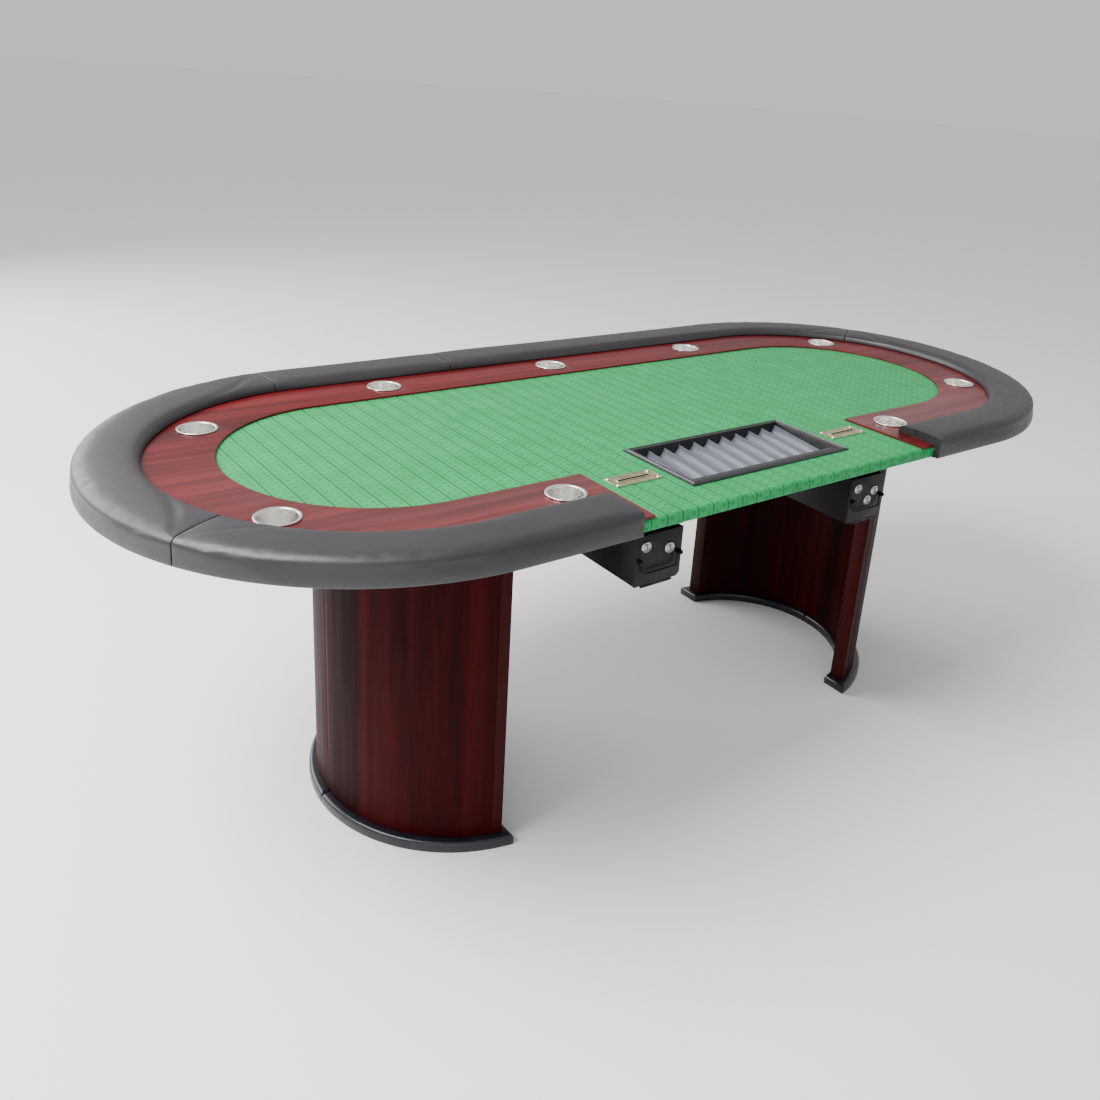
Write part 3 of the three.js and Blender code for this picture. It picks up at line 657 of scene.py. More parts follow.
paints = {
    "leatherette": leatherettePaint(),
    "mahogany": woodPaint("mahogany", (0.062, 0.0040, 0.0055), (0.105, 0.0065, 0.0088),
                          (0.155, 0.0110, 0.0140), 0, 0.34, 0.12, 1.0),
    "veneer": woodPaint("leg_veneer", (0.0085, 0.0004, 0.0004), (0.0190, 0.0007, 0.0007),
                        (0.046, 0.0016, 0.0016), 2, 0.52, 0.0, 0.8, gloss=0.05),
    "post": woodPaint("leg_post", (0.016, 0.0010, 0.0010), (0.034, 0.0022, 0.0022),
                      (0.062, 0.0042, 0.0042), 2, 0.50, 0.0, 0.7, gloss=0.08),
    "plywood": woodPaint("plywood", (0.010, 0.006, 0.005), (0.018, 0.010, 0.008),
                         (0.030, 0.016, 0.012), 0, 0.7, 0.0, 0.6),
    "cloth": clothPaint(),
    "steel": steelPaint(),
    "chrome": chromePaint("chrome", 0.80),
    "lock": chromePaint("lock_chrome", 0.34),
    "brass": brassPaint(),
    "powder": powderPaint(),
    "seam": plasticPaint("seam_shadow", (0.002, 0.002, 0.002), 0.9),
    # painted highlight: a light grey for the ridge tops on the tray's flanges, standing in for the light the
    # ridges catch
    "trayRidgeHighlight": plasticPaint("tray_ridge_highlight", (0.30, 0.30, 0.31), 0.30),
    "tray": plasticPaint("tray_black", (0.006, 0.006, 0.0065), 0.32),
    "groove": groovePaint(),
    "plinth": plasticPaint("plinth_black", (0.006, 0.006, 0.009), 0.30),
    "foam": foamPaint(),
}


def finish(obj, paint, slot, body, *nodes):
    obj.data.materials.clear()
    obj.data.materials.append(paints[paint])
    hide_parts(*nodes)
    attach(obj, body)
    return obj


def paintNode(name, paint):
    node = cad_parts[name]
    node.data.materials.clear()
    node.data.materials.append(paints[paint])


# Cups, where they stand.

cupSet = {
    "rim": 0.040, "radius": 0.035, "foot": 0.0325, "wall": 0.001, "roll": 0.0013, "floorDome": 0.0015,
    "mouthBend": 0.0025, "footBend": 0.003, "footRound": 0.002,
}


def cupPlaces():
    places = []
    for number in range(1, table["cups"] + 1):
        low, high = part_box(f"cup_holder_{number}")
        places.append(((low.x + high.x) / 2, (low.y + high.y) / 2, low.z, high.z))
    return places


def makeCups():
    rim, radius, foot, wall, roll = (cupSet[key] for key in ("rim", "radius", "foot", "wall", "roll"))
    mouth, heel, ease = cupSet["mouthBend"], cupSet["footBend"], cupSet["footRound"]
    for number, (x, y, low, high) in enumerate(cupPlaces(), 1):
        curl = [(rim - roll + roll * math.cos(angle), high - roll + roll * math.sin(angle))
                for angle in [math.radians(step) for step in range(-90, 100, 20)]]
        bend = [(radius - wall + mouth * (1 - math.cos(math.radians(step))),
                 high - mouth + mouth * math.sin(math.radians(step))) for step in range(70, -1, -14)]
        base = [(foot - wall - heel * (1 - math.sin(math.radians(step))),
                 low + wall + heel * (1 - math.cos(math.radians(step)))) for step in range(90, -1, -18)]
        profile = [(0, low), (foot - ease, low), (foot, low + ease), (radius, high - 2 * roll - 0.0004),
                   (radius + 0.002, high - 2 * roll)]
        profile += curl + bend + base + [(foot * 0.6, low + wall + cupSet["floorDome"] * 0.6),
                                         (0, low + wall + cupSet["floorDome"])]
        cup = turned(f"cup_{number}", profile, (x, y, 0), 64)
        smooth(cup, 50)
        finish(cup, "steel", "cup_steel", "table", f"cup_holder_{number}")
    say("cups")


# Racetrack.

trackSet = {
    "width": 0.127, "railWidth": 0.118, "opening": 0.788, "edge": 0.0009, "cupGap": 0.0004, "step": 0.02,
}


def makeRacetrack():
    outer = table["radius"] - trackHigh.y
    inner = trackSet["railWidth"] + trackSet["width"]
    low, high = trackLow.z, trackHigh.z
    ease = trackSet["edge"]
    section = [(outer, low), (outer, high), (inner - ease, high), (inner - ease * 0.3, high - ease * 0.3),
               (inner, high - ease), (inner, low)]
    extra = table["dealerHalf"] - trackSet["opening"] / 2
    track = sweep("racetrack_board", section, -extra, pathLength + extra, trackSet["step"])
    tools = [roundTool((x, y), cupSet["radius"] + trackSet["cupGap"], low - 0.01, high + 0.01)
             for x, y, _, _ in cupPlaces()]
    cutWith(track, tools)
    smooth(track, 30)
    finish(track, "mahogany", "mahogany", "table", "racetrack")
    say("racetrack")


# Padded rail.

railSet = {
    "width": 0.118, "corner": 0.0125, "crown": 0.0016, "skirt": 0.0105,
    "coreInset": 0.0145, "coreHeight": 0.0135,
    "step": 0.008, "fine": (0.0006, 0.0010, 0.0018, 0.0035), "seamGap": 0.0002,
    "shy": 0.0012, "pressure": 4.0, "frames": 20, "cap": 0.0028, "fill": 0.85,
    "seamDark": 0.0012, "seamReach": 0.0030, "seamDepth": 0.0013, "pucker": 0.0006, "puckerReach": 0.05,
    "seamLeft": 95.5, "seamFront": 210.0,          # degrees round the left-hand end
}


def railSection():
    width, corner = railSet["width"], railSet["corner"]
    bottom, top = table["boardBottom"], railHigh.z
    shy = railSet["shy"]
    base = trackHigh.z + 0.0003
    points = [(0.0035, bottom), (0.0015, bottom + 0.0008), (shy * 0.3, bottom + 0.003)]
    points += [(shy * 0.5, bottom + 0.010), (shy, bottom + 0.018), (shy, top - corner - 0.006)]
    for step in range(0, 7):
        angle = math.radians(15 * step)
        points.append((shy + corner * (1 - math.cos(angle)),
                       top - shy - railSet["crown"] - corner * (1 - math.sin(angle))))
    count = 11
    for step in range(1, count):
        share = step / count
        inwards = shy + corner + share * (width - 2 * shy - 2 * corner)
        points.append((inwards, top - shy - railSet["crown"] * (2 * share - 1) ** 2))
    for step in range(0, 7):
        angle = math.radians(90 - 15 * step)
        points.append((width - shy - corner * (1 - math.cos(angle)),
                       top - shy - railSet["crown"] - corner * (1 - math.sin(angle))))
    points += [(width - shy * 0.5, base + 0.003), (width - 0.001, base)]
    inner, coreTop, skirt = width - railSet["coreInset"], base + railSet["coreHeight"], railSet["skirt"]
    for step in range(1, 3):
        points.append((width + (inner - width) * step / 2, base))
    points.append((inner, coreTop))
    for step in range(1, 9):
        points.append((inner + (skirt - inner) * step / 8, coreTop))
    for step in range(1, 5):
        points.append((skirt, coreTop + (bottom - coreTop) * step / 5))
    points.append((skirt, bottom))
    return points


def swell(obj, free):
    # the cover is blown out over its foam and held where it is stapled
    rest = [vertex.co.copy() for vertex in obj.data.vertices]
    pins = obj.vertex_groups.new(name="stapled")
    pins.add([index for index, spot in enumerate(rest) if not free(spot)], 1.0, "REPLACE")
    pick(obj)
    modifier = obj.modifiers.new("cloth", "CLOTH")
    cloth = modifier.settings
    cloth.quality = 4
    cloth.mass = 0.35
    cloth.tension_stiffness = 18
    cloth.compression_stiffness = 18
    cloth.shear_stiffness = 8
    cloth.bending_stiffness = 1.2
    cloth.use_pressure = True
    cloth.uniform_pressure_force = railSet["pressure"]
    cloth.vertex_group_mass = "stapled"
    cloth.effector_weights.gravity = 0
    modifier.collision_settings.use_collision = False
    scene = bpy.context.scene
    scene.frame_start, scene.frame_end = 1, railSet["frames"]
    modifier.point_cache.frame_start, modifier.point_cache.frame_end = 1, railSet["frames"]
    for number in range(1, railSet["frames"] + 1):
        scene.frame_set(number)
    pick(obj)
    bpy.ops.object.modifier_apply(modifier=modifier.name)
    scene.frame_set(1)
    for vertex, spot in zip(obj.data.vertices, rest):
        move = vertex.co - spot
        if move.length > railSet["cap"]:
            vertex.co = spot + move.normalized() * railSet["cap"]
    obj.vertex_groups.clear()


def seamAfter(number):
    # where one length of cover meets the next: the first two found from the nodes' ends, the other two at the
    # angles given round the left-hand end
    low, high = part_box(f"armrest_{number}")
    if number == 1:
        angle = math.asin(min(1, high.y / table["radius"]))
        return pathEnds[0] + (angle + math.pi / 2) * table["radius"]
    if number == 2:
        return pathEnds[1] + table["endX"] - low.x
    if number == 3:
        return pathEnds[2] + (math.radians(railSet["seamLeft"]) - math.pi / 2) * table["radius"]
    return pathEnds[2] + (math.radians(railSet["seamFront"]) - math.pi / 2) * table["radius"]


def makeRail():
    seams = [0.0] + [seamAfter(number) for number in range(1, 5)] + [pathLength]
    section = railSection()
    bottom, top = table["boardBottom"], railHigh.z
    width, corner = railSet["width"], railSet["corner"]

    def depth(spot):
        # how far inwards from the rail's outer edge
        across = Vector((max(abs(spot.x) - table["endX"], 0), spot.y, 0))
        return table["radius"] - across.length

    for number in range(1, 6):
        start, end = seams[number - 1] + railSet["seamGap"], seams[number] - railSet["seamGap"]
        pad = sweep(f"rail_pad_{number}", section, start, end, railSet["step"], fine=railSet["fine"])

        def toEnd(spot, places=(start, end)):
            # distance along the rail to the nearer end of this length of cover
            flat = Vector((spot.x, spot.y, 0))
            best = 9.0
            for place in places:
                here = along(place, 0, 0)
                ahead = along(min(place + 0.001, seams[-1]), 0, 0) - along(max(place - 0.001, 0), 0, 0)
                if (flat - here).length < 0.3:
                    best = min(best, abs((flat - here).dot(ahead.normalized())))
            return best

        def free(spot):
            inwards = depth(spot)
            onTop = spot.z > top - 0.006 and 0.004 < inwards < width - 0.004
            onOuter = inwards < 0.004 and spot.z > bottom + 0.006
            onInner = inwards > width - 0.008 and spot.z > trackHigh.z + 0.004
            nearEdge = inwards < corner or inwards > width - corner - 0.002
            onCorner = nearEdge and spot.z > top - corner - 0.004
            return (onTop or onOuter or onInner or onCorner) and toEnd(spot) > 0.003

        swell(pad, free)
        say(f"rail pad {number} swelled")
        for vertex in pad.data.vertices:
            spot = vertex.co
            inwards = depth(spot)
            outside = inwards < 0.006 or spot.z > top - 0.016 or inwards > width - 0.006
            if not outside or spot.z < bottom + 0.001:
                continue
            near = toEnd(spot)
            pastEnd = max(abs(spot.x) - table["endX"], 0) * (1 if spot.x > 0 else -1)
            across = Vector((pastEnd, spot.y, 0)).normalized()
            heart = spot - across * (0.059 - inwards) if abs(inwards - 0.059) > 1e-4 else spot
            inward = Vector((heart.x, heart.y, top - 0.02)) - spot
            inward = inward.normalized() if inward.length > 0 else Vector((0, 0, -1))
            if spot.z > top - 0.004:
                inward = Vector((0, 0, -1))
            if near < railSet["seamReach"]:
                share = 1 - near / railSet["seamReach"]
                vertex.co = vertex.co + inward * railSet["seamDepth"] * share ** 1.6
            if near < railSet["puckerReach"]:
                fade = (1 - near / railSet["puckerReach"]) ** 2
                ripple = noise.noise(Vector((inwards * 95, spot.z * 95, number * 7.0)))
                vertex.co = vertex.co + inward * railSet["pucker"] * fade * ripple
        applyModifier(pad, "SUBSURF", levels=1, render_levels=1)
        smooth(pad, 60)
        finish(pad, "leatherette", "leatherette", "table", f"armrest_{number}")
        pad.data.materials.append(paints["seam"])
        for face in pad.data.polygons:
            if toEnd(face.center) < railSet["seamDark"]:
                face.material_index = 1
    say("rail")


# Playing cloth, wrapped over the padded edge at the dealer's place.

clothSet = {
    "radius": 0.533, "nose": 0.530, "top": 0.0085, "under": 0.0045, "thick": 0.0014, "overEdge": 0.03,
    "steps": 110, "ripple": 0.00035, "cupHole": 0.0362, "trayGap": 0.001, "slotX": 0.042, "slotY": 0.007,
}


def makeCloth():
    top, bottom = table["clothTop"], table["boardBottom"]
    half = table["dealerHalf"] - 0.0006
    front = -clothSet["nose"]
    start = front + clothSet["top"]
    radius, endX = clothSet["radius"], table["endX"]
    outline = [(-half + 2 * half * step / clothSet["steps"], start) for step in range(clothSet["steps"] + 1)]
    outline.append((half + 0.002, -radius))
    for centre, first in ((endX, -90), (-endX, 90)):
        for step in range(table["smooth"] + 1):
            angle = math.radians(first + 180 * step / table["smooth"])
            outline.append((centre + radius * math.cos(angle), radius * math.sin(angle)))
    outline.append((-half - 0.002, -radius))
    cloth = drawLine("playing_cloth", [(x, y, top) for x, y in outline], closed=True)
    edit(cloth)
    bpy.ops.mesh.edge_face_add()
    chooseEdges(cloth, lambda a, b: abs(a.y - start) < 1e-5 and abs(b.y - start) < 1e-5)
    reach, tuck = clothSet["top"], clothSet["under"]
    nose = [(start - reach * math.sin(math.radians(angle)), top - reach * (1 - math.cos(math.radians(angle))))
            for angle in (15, 30, 45, 60, 75, 90)]
    nose += [(front, top - reach - (top - reach - bottom - tuck) * share) for share in (0.33, 0.67, 1.0)]
    nose += [(front + tuck * (1 - math.cos(math.radians(angle))),
              bottom + tuck * (1 - math.sin(math.radians(angle)))) for angle in (22, 45, 68, 90)]
    here = (start, top)
    for there in nose:
        pull((0, there[0] - here[0], there[1] - here[1]))
        here = there
    done()
    for vertex in cloth.data.vertices:
        spot = vertex.co
        if spot.y < start - 1e-4 and abs(spot.x) < half - 0.01 and spot.y < -radius * 0.9:
            ripple = noise.noise(Vector((spot.x * 55, 0, spot.z * 60))) + 0.5 * noise.noise(spot * 160)
            vertex.co.y = spot.y + clothSet["ripple"] * ripple
    edit(cloth)
    bpy.ops.mesh.normals_make_consistent(inside=False)
    done()
    if cloth.data.polygons[0].normal.z < 0:
        edit(cloth)
        bpy.ops.mesh.flip_normals()
        done()
    applyModifier(cloth, "SOLIDIFY", thickness=clothSet["thick"], offset=-1)
    low, high, gap = top - 0.02, top + 0.02, clothSet["trayGap"]
    tools = [roundTool((x, y), clothSet["cupHole"], low, high, 48) for x, y, _, _ in cupPlaces()]
    tools.append(block("tool", (-traySet["bodyX"] - gap, traySet["y"] - traySet["bodyY"] - gap, low),
                       (traySet["bodyX"] + gap, traySet["y"] + traySet["bodyY"] + gap, high)))
    slotX, slotY = clothSet["slotX"], clothSet["slotY"]
    for side in (-1, 1):
        x, y = side * plateSet["x"], plateSet["y"]
        tools.append(block("tool", (x - slotX, y - slotY, low), (x + slotX, y + slotY, high)))
    cutWith(cloth, tools)
    layer = cloth.data.uv_layers.new(name="cloth") if not cloth.data.uv_layers else cloth.data.uv_layers[0]
    cloth.data.uv_layers.active = layer
    for loop in cloth.data.loops:
        spot = cloth.data.vertices[loop.vertex_index].co
        layer.data[loop.index].uv = (spot.x + 2.0, spot.y - (top - spot.z) + 2.0)
    smooth(cloth, 40)
    area = math.pi * radius ** 2 + 2 * endX * 2 * radius - 2 * traySet["bodyX"] * 2 * traySet["bodyY"]
    area -= table["cups"] * math.pi * clothSet["cupHole"] ** 2
    finish(cloth, "cloth", "playing_cloth", "table", "speed_cloth")
    say("cloth")


# Chip tray.

trayLow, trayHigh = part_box("chip_tray_frame")
insertLow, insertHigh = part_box("chip_tray_insert")

traySet = {
    "y": (trayLow.y + trayHigh.y) / 2, "halfX": trayHigh.x, "halfY": (trayHigh.y - trayLow.y) / 2,
    "bodyX": 0.219, "bodyY": 0.099, "corner": 0.0008, "pocketX": 0.216,
    "flange": 0.7953, "flangeThick": 0.0016, "floor": 0.003, "highlightWidth": 0.0011,
    "grooves": 10, "pitch": 0.0425, "radius": 0.020, "tilt": 6.0, "ridgeDrop": 0.019,
    # the sloping front wall: (in from the pocket's edge, down from the flange)
    "slope": ((0, 0.0008), (0.0155, 0.0014), (0.0175, 0.0034), (0.0175, 0.030), (0, 0.030)),
    # across the flange from its edge: (step in, rise)
    "steps": ((0.0009, 0.0010), (0.0022, 0.0008), (0.0004, 0.0005), (0.0011, 0.0), (0.0004, -0.0005),
              (0.0022, 0.0), (0.0004, 0.0005), (0.0011, 0.0), (0.0004, -0.0005), (0.0024, 0.0),
              (0.0012, 0.0006), (0.0010, 0.0)),
}


def makeTray():
    y, low, top = traySet["y"], trayLow.z, trayHigh.z
    halfX, halfY, corner = traySet["halfX"], traySet["halfY"], traySet["corner"]
    outline = [(-halfX, y - halfY), (halfX, y - halfY), (halfX, y + halfY), (-halfX, y + halfY)]
    flange, thick, pocket = traySet["flange"], traySet["flangeThick"], traySet["pocketX"]
    rim = plateOf("chip_tray_rim", outline, flange, flange + thick)
    chooseFaces(rim, lambda face: face.normal.z > 0.9)
    for inset, rise in traySet["steps"]:
        bpy.ops.mesh.inset(thickness=inset, depth=rise, use_even_offset=True)
    done()
    reached = sum(inset for inset, _ in traySet["steps"])
    chooseFaces(rim, lambda face: face.normal.z > 0.9 and face.area > 0.05)
    bpy.ops.mesh.inset(thickness=halfX - reached - pocket, depth=-0.0004, use_even_offset=True)
    bpy.ops.mesh.inset(thickness=0.0005, depth=-0.0012, use_even_offset=True)
    pull((0, 0, low + traySet["floor"] - flange))
    done()
    chooseFaces(rim, lambda face: face.normal.z < -0.9)
    bpy.ops.mesh.inset(thickness=halfX - traySet["bodyX"], depth=0, use_even_offset=True)
    pull((0, 0, low - flange))
    done()
    chooseEdges(rim, lambda a, b: abs(a.x - b.x) < 1e-6 and abs(a.y - b.y) < 1e-6
                and abs(abs(a.x) - halfX) < 1e-4 and a.z > flange - 1e-4 and b.z > flange - 1e-4)
    bpy.ops.mesh.bevel(offset=corner, segments=4, affect="EDGES", clamp_overlap=True)
    done()
    y0, z0 = trayLow.y + halfX - pocket, flange + thick
    slope = solidFrom("slope", [(-pocket, y0 + across, z0 - down) for across, down in traySet["slope"]],
                      (2 * pocket, 0, 0))
    rim = join([rim, slope], "chip_tray_rim")
    smooth(rim, 30)
    finish(rim, "tray", "tray_frame", "chip_tray", "chip_tray_frame")
    # the tops of the two ridges along each side flange take the light grey: a painted highlight for the light
    # the ridges catch
    rim.data.materials.append(paints["trayRidgeHighlight"])
    ridges = [sum(inset for inset, _ in traySet["steps"][:count]) for count in (3, 7)]
    for face in rim.data.polygons:
        away = halfX - abs(face.center.x)
        if face.normal.z > 0.9 and any(ridge < away < ridge + traySet["highlightWidth"] for ridge in ridges):
            face.material_index = 1

    ridge = top - traySet["ridgeDrop"]
    pitch, radius = traySet["pitch"], traySet["radius"]
    half = traySet["grooves"] * pitch / 2
    flat = pitch / 2 - radius
    section = [(-0.3, -0.1), (-0.3, 0.0)]
    for index in range(traySet["grooves"]):
        centre = -half + (index + 0.5) * pitch
        left, right = centre - radius, centre + radius
        section += [(left - flat * 0.55, 0.0), (left - flat * 0.12, -0.00025), (left + 0.00002, -0.0014)]
        for angle in [math.radians(180 + 9 * step) for step in range(1, 20)]:
            section.append((centre + radius * math.cos(angle), radius * math.sin(angle)))
        section += [(right - 0.00002, -0.0014), (right + flat * 0.12, -0.00025), (right + flat * 0.55, 0.0)]
    section += [(0.3, 0.0), (0.3, -0.1)]
    grooves = solidFrom("chip_tray_grooves", [(x, -0.15, z) for x, z in section], (0, 0.3, 0))
    tilt = Matrix.Rotation(math.radians(traySet["tilt"]), 4, "X")
    grooves.data.transform(Matrix.Translation(Vector((0, y, ridge))) @ tilt)
    room = block("tool", insertLow, (insertHigh.x, insertHigh.y, insertHigh.z + 0.01))
    cutWith(grooves, [room], "INTERSECT")
    smooth(grooves, 40)
    finish(grooves, "groove", "tray_groove", "chip_tray", "chip_tray_insert")
    say("chip tray")


# Slot plates and their screws.

plateLow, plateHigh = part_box("slot_plate_right")

plateSet = {
    "x": (plateLow.x + plateHigh.x) / 2, "y": (plateLow.y + plateHigh.y) / 2,
    "halfX": (plateHigh.x - plateLow.x) / 2, "halfY": (plateHigh.y - plateLow.y) / 2,
    "corner": 0.0045, "slotX": 0.038, "slotY": 0.0025, "lip": 0.0022, "rim": 0.0018,
}

screwSet = {
    "hole": 0.0021, "head": 0.004, "shank": 0.00175, "edge": 0.0003,
    "crossHalf": 0.0021, "crossWide": 0.00045, "crossDeep": 0.0011,
}


def makeScrew(name, low, high, seat, turn):
    x, y = (low.x + high.x) / 2, (low.y + high.y) / 2
    head, shank, edge = screwSet["head"], screwSet["shank"], screwSet["edge"]
    profile = [(0, low.z), (shank, low.z + 0.002), (shank, seat), (head - edge, seat), (head, seat + edge)]
    profile += [(head * math.cos(math.radians(angle)),
                 seat + edge + (high.z - seat - edge) * math.sin(math.radians(angle)))
                for angle in (20, 40, 60, 80)] + [(0, high.z)]
    screw = turned(f"{name}_head", profile, (x, y, 0), 28)
    half, wide = screwSet["crossHalf"], screwSet["crossWide"]
    tools = []
    for quarter in (0, 90):
        tool = block("tool", (-half, -wide, high.z - screwSet["crossDeep"]), (half, wide, high.z + 0.002))
        tool.data.transform(Matrix.Translation(Vector((x, y, 0)))
                            @ Matrix.Rotation(turn + math.radians(quarter), 4, "Z"))
        tools.append(tool)
    cutWith(screw, tools)
    smooth(screw, 40)
    finish(screw, "chrome", "screw", "table", name)


def makeSlotPlates():
    low, high = plateLow.z, plateHigh.z
    for name, side in (("left", -1), ("right", 1)):
        x, y = side * plateSet["x"], plateSet["y"]
        halfX, halfY = plateSet["halfX"], plateSet["halfY"]
        outline = rounded([(x - halfX, y - halfY), (x + halfX, y - halfY), (x + halfX, y + halfY),
                           (x - halfX, y + halfY)], plateSet["corner"])
        plate = plateOf(f"slot_plate_{name}_face", outline, low, high - 0.0005)
        chooseFaces(plate, lambda face: face.normal.z > 0.9)
        for inset, rise in ((0.0004, 0.0005), (plateSet["rim"], 0.0), (0.0005, -0.0006)):
            bpy.ops.mesh.inset(thickness=inset, depth=rise, use_even_offset=True)
        done()
        slotX, slotY, lip = plateSet["slotX"], plateSet["slotY"], plateSet["lip"]
        below, above = low - 0.005, high + 0.005
        ring = block("lip", (x - slotX - lip, y - slotY - lip, low + 0.0004),
                     (x + slotX + lip, y + slotY + lip, high + 0.0006), 0.0005)
        for part in (plate, ring):
            cutWith(part, [block("tool", (x - slotX, y - slotY, below), (x + slotX, y + slotY, above))])
        screws = [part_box(f"slot_screw_{name}_{number}") for number in range(1, 5)]
        cutWith(plate, [roundTool(((a.x + b.x) / 2, (a.y + b.y) / 2), screwSet["hole"], below, above, 24)
                        for a, b in screws])
        plate = join([plate, ring], f"slot_plate_{name}_face")
        smooth(plate, 30)
        finish(plate, "brass", "slot_plate", "table", f"slot_plate_{name}")

        for number, (a, b) in enumerate(screws, 1):
            makeScrew(f"slot_screw_{name}_{number}", a, b, high - 0.0003,
                      math.radians(25 + 37 * number + 50 * side))
    say("slot plates")


# Drop boxes, one under each slot plate.

boxSet = {
    "sheet": 0.002, "runner": 0.052, "neck": 0.044, "neckHeight": 0.008, "bracket": 0.059, "lip": 0.010,
    "doorThick": 0.0027, "notch": 0.008, "gap": 0.0003, "run": 0.001, "slotX": 0.042, "slotY": 0.007,
    "hingeRadius": 0.0032, "pinRadius": 0.0011, "doorKnuckle": 0.014, "boxKnuckle": 0.024,
    "lockRadius": 0.012, "barrel": 0.0095, "camLength": 0.017, "camWidth": 0.008, "lockRound": 0.0016,
    "keyHalf": 0.005, "keyWide": 0.0011, "keyDeep": 0.006,
    "wire": 0.002, "handleHalf": 0.042, "handleDrop": 0.026, "bend": 0.005, "standoff": 0.0065,
    "pivotDrop": 0.052, "lug": 0.003, "lugInset": 0.0075, "lugHeight": 0.0045, "lugBase": 0.001,
    "height": 0.106, "edge": 0.0006,
}


def pulled(name, outline, yLow, yHigh, bevel=0.0):
    # a plate or channel drawn as (x, z) and pulled from yLow to yHigh
    obj = solidFrom(name, [(x, yLow, z) for x, z in outline], (0, yHigh - yLow, 0))
    if bevel > 0:
        easeEdges(obj, bevel)
    return obj


def rod(name, x0, x1, y, z, radius, sides):
    # a round bar along x
    clearSelection()
    bpy.ops.mesh.primitive_cylinder_add(vertices=sides, radius=radius, depth=x1 - x0,
                                        rotation=(0, math.pi / 2, 0), location=((x0 + x1) / 2, y, z))
    obj = named(name)
    settle(obj)
    return obj


def barrel(x0, x1, y, z, radius, bore):
    # a hinge knuckle along x, bored through for its pin
    knuckle = rod("knuckle", x0, x1, y, z, radius, 32)
    easeEdges(knuckle, 0.0003)
    cutWith(knuckle, [rod("tool", x0 - 0.005, x1 + 0.005, y, z, bore, 24)])
    return knuckle


def makeBracket(name, x):
    low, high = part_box(f"drop_bracket_{name}")
    half, sheet, lip = boxSet["bracket"], boxSet["sheet"], boxSet["lip"]
    top = high.z
    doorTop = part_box(f"drop_box_door_{name}")[1].z
    lipTop = doorTop + boxSet["neckHeight"] - boxSet["run"]
    lipLow = lipTop - sheet
    outline = [(x - half, lipLow), (x - half + lip, lipLow), (x - half + lip, lipTop),
               (x - half + sheet, lipTop), (x - half + sheet, top - sheet), (x + half - sheet, top - sheet),
               (x + half - sheet, lipTop), (x + half - lip, lipTop), (x + half - lip, lipLow),
               (x + half, lipLow), (x + half, top), (x - half, top)]
    bracket = pulled(f"drop_bracket_{name}_channel", outline, low.y, high.y, boxSet["edge"])
    chuteX, chuteY = boxSet["slotX"], boxSet["slotY"]
    y = plateSet["y"]
    chuteLow = doorTop + boxSet["neckHeight"] + sheet + boxSet["run"]
    cutWith(bracket, [block("chute", (x - chuteX - sheet, y - chuteY - sheet, chuteLow),
                            (x + chuteX + sheet, y + chuteY + sheet, top - 0.0004))], "UNION")
    cutWith(bracket, [block("tool", (x - chuteX, y - chuteY, chuteLow - 0.01),
                            (x + chuteX, y + chuteY, top + 0.01))])
    smooth(bracket, 30)
    finish(bracket, "powder", "black_sheet_metal", "table", f"drop_bracket_{name}")


def makeBoxBody(name, x, front):
    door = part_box(f"drop_box_door_{name}")
    sheet = boxSet["sheet"]
    half = (door[1].x - door[0].x) / 2 - 0.001
    bodyFront, back = front + boxSet["doorThick"] + boxSet["gap"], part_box(f"drop_box_{name}")[1].y
    bottom, top = bottomOf(name), door[1].z
    shell = block(f"drop_box_{name}_body", (x - half, bodyFront, bottom), (x + half, back, top), 0.0014, 3)
    cutWith(shell, [block("tool", (x - half + sheet, bodyFront - 0.01, bottom + sheet),
                          (x + half - sheet, back - sheet, top - sheet), 0.001, 2)])
    neck, runner = boxSet["neck"], boxSet["runner"]
    neckTop = top + boxSet["neckHeight"]
    low = top - sheet * 0.5
    outline = [(x - neck, low), (x - neck + sheet, low), (x - neck + sheet, neckTop),
               (x + neck - sheet, neckTop), (x + neck - sheet, low), (x + neck, low),
               (x + neck, neckTop), (x + runner, neckTop), (x + runner, neckTop + sheet),
               (x - runner, neckTop + sheet), (x - runner, neckTop), (x - neck, neckTop)]
    cutWith(shell, [pulled("runner", outline, bodyFront, back, 0.0003)], "UNION")
    y = plateSet["y"]
    cutWith(shell, [block("tool", (x - boxSet["slotX"] + sheet, y - boxSet["slotY"], top - 0.004),
                          (x + boxSet["slotX"] - sheet, y + boxSet["slotY"], neckTop + 0.01))])
    radius = boxSet["hingeRadius"]
    hingeY, hingeZ = front + radius, bottom - radius - boxSet["gap"]
    parts = [shell]
    for side in (-1, 1):
        inner = boxSet["doorKnuckle"] + boxSet["gap"]
        ends = sorted((x + side * inner, x + side * (inner + boxSet["boxKnuckle"])))
        parts.append(barrel(ends[0], ends[1], hingeY, hingeZ, radius, boxSet["pinRadius"] + 0.0002))
        parts.append(block("leaf", (ends[0], hingeY + 0.0016, hingeZ),
                           (ends[1], hingeY + 0.0032, bottom + 0.001), 0.0003))
    body = join(parts, f"drop_box_{name}_body")
    smooth(body, 30)
    finish(body, "powder", "black_sheet_metal", f"drop_box_{name}", f"drop_box_{name}")


def bottomOf(name):
    # the underside of the box: the door's top less the box's height
    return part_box(f"drop_box_door_{name}")[1].z - boxSet["height"]


def lockPlaces(name):
    places = {}
    kinds = ["release_lock", "door_lock"] + (["audit_lock"] if name == "right" else [])
    for kind in kinds:
        low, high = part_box(f"{kind}_{name}")
        places[kind] = ((low.x + high.x) / 2, low.z + boxSet["lockRadius"])
    return places


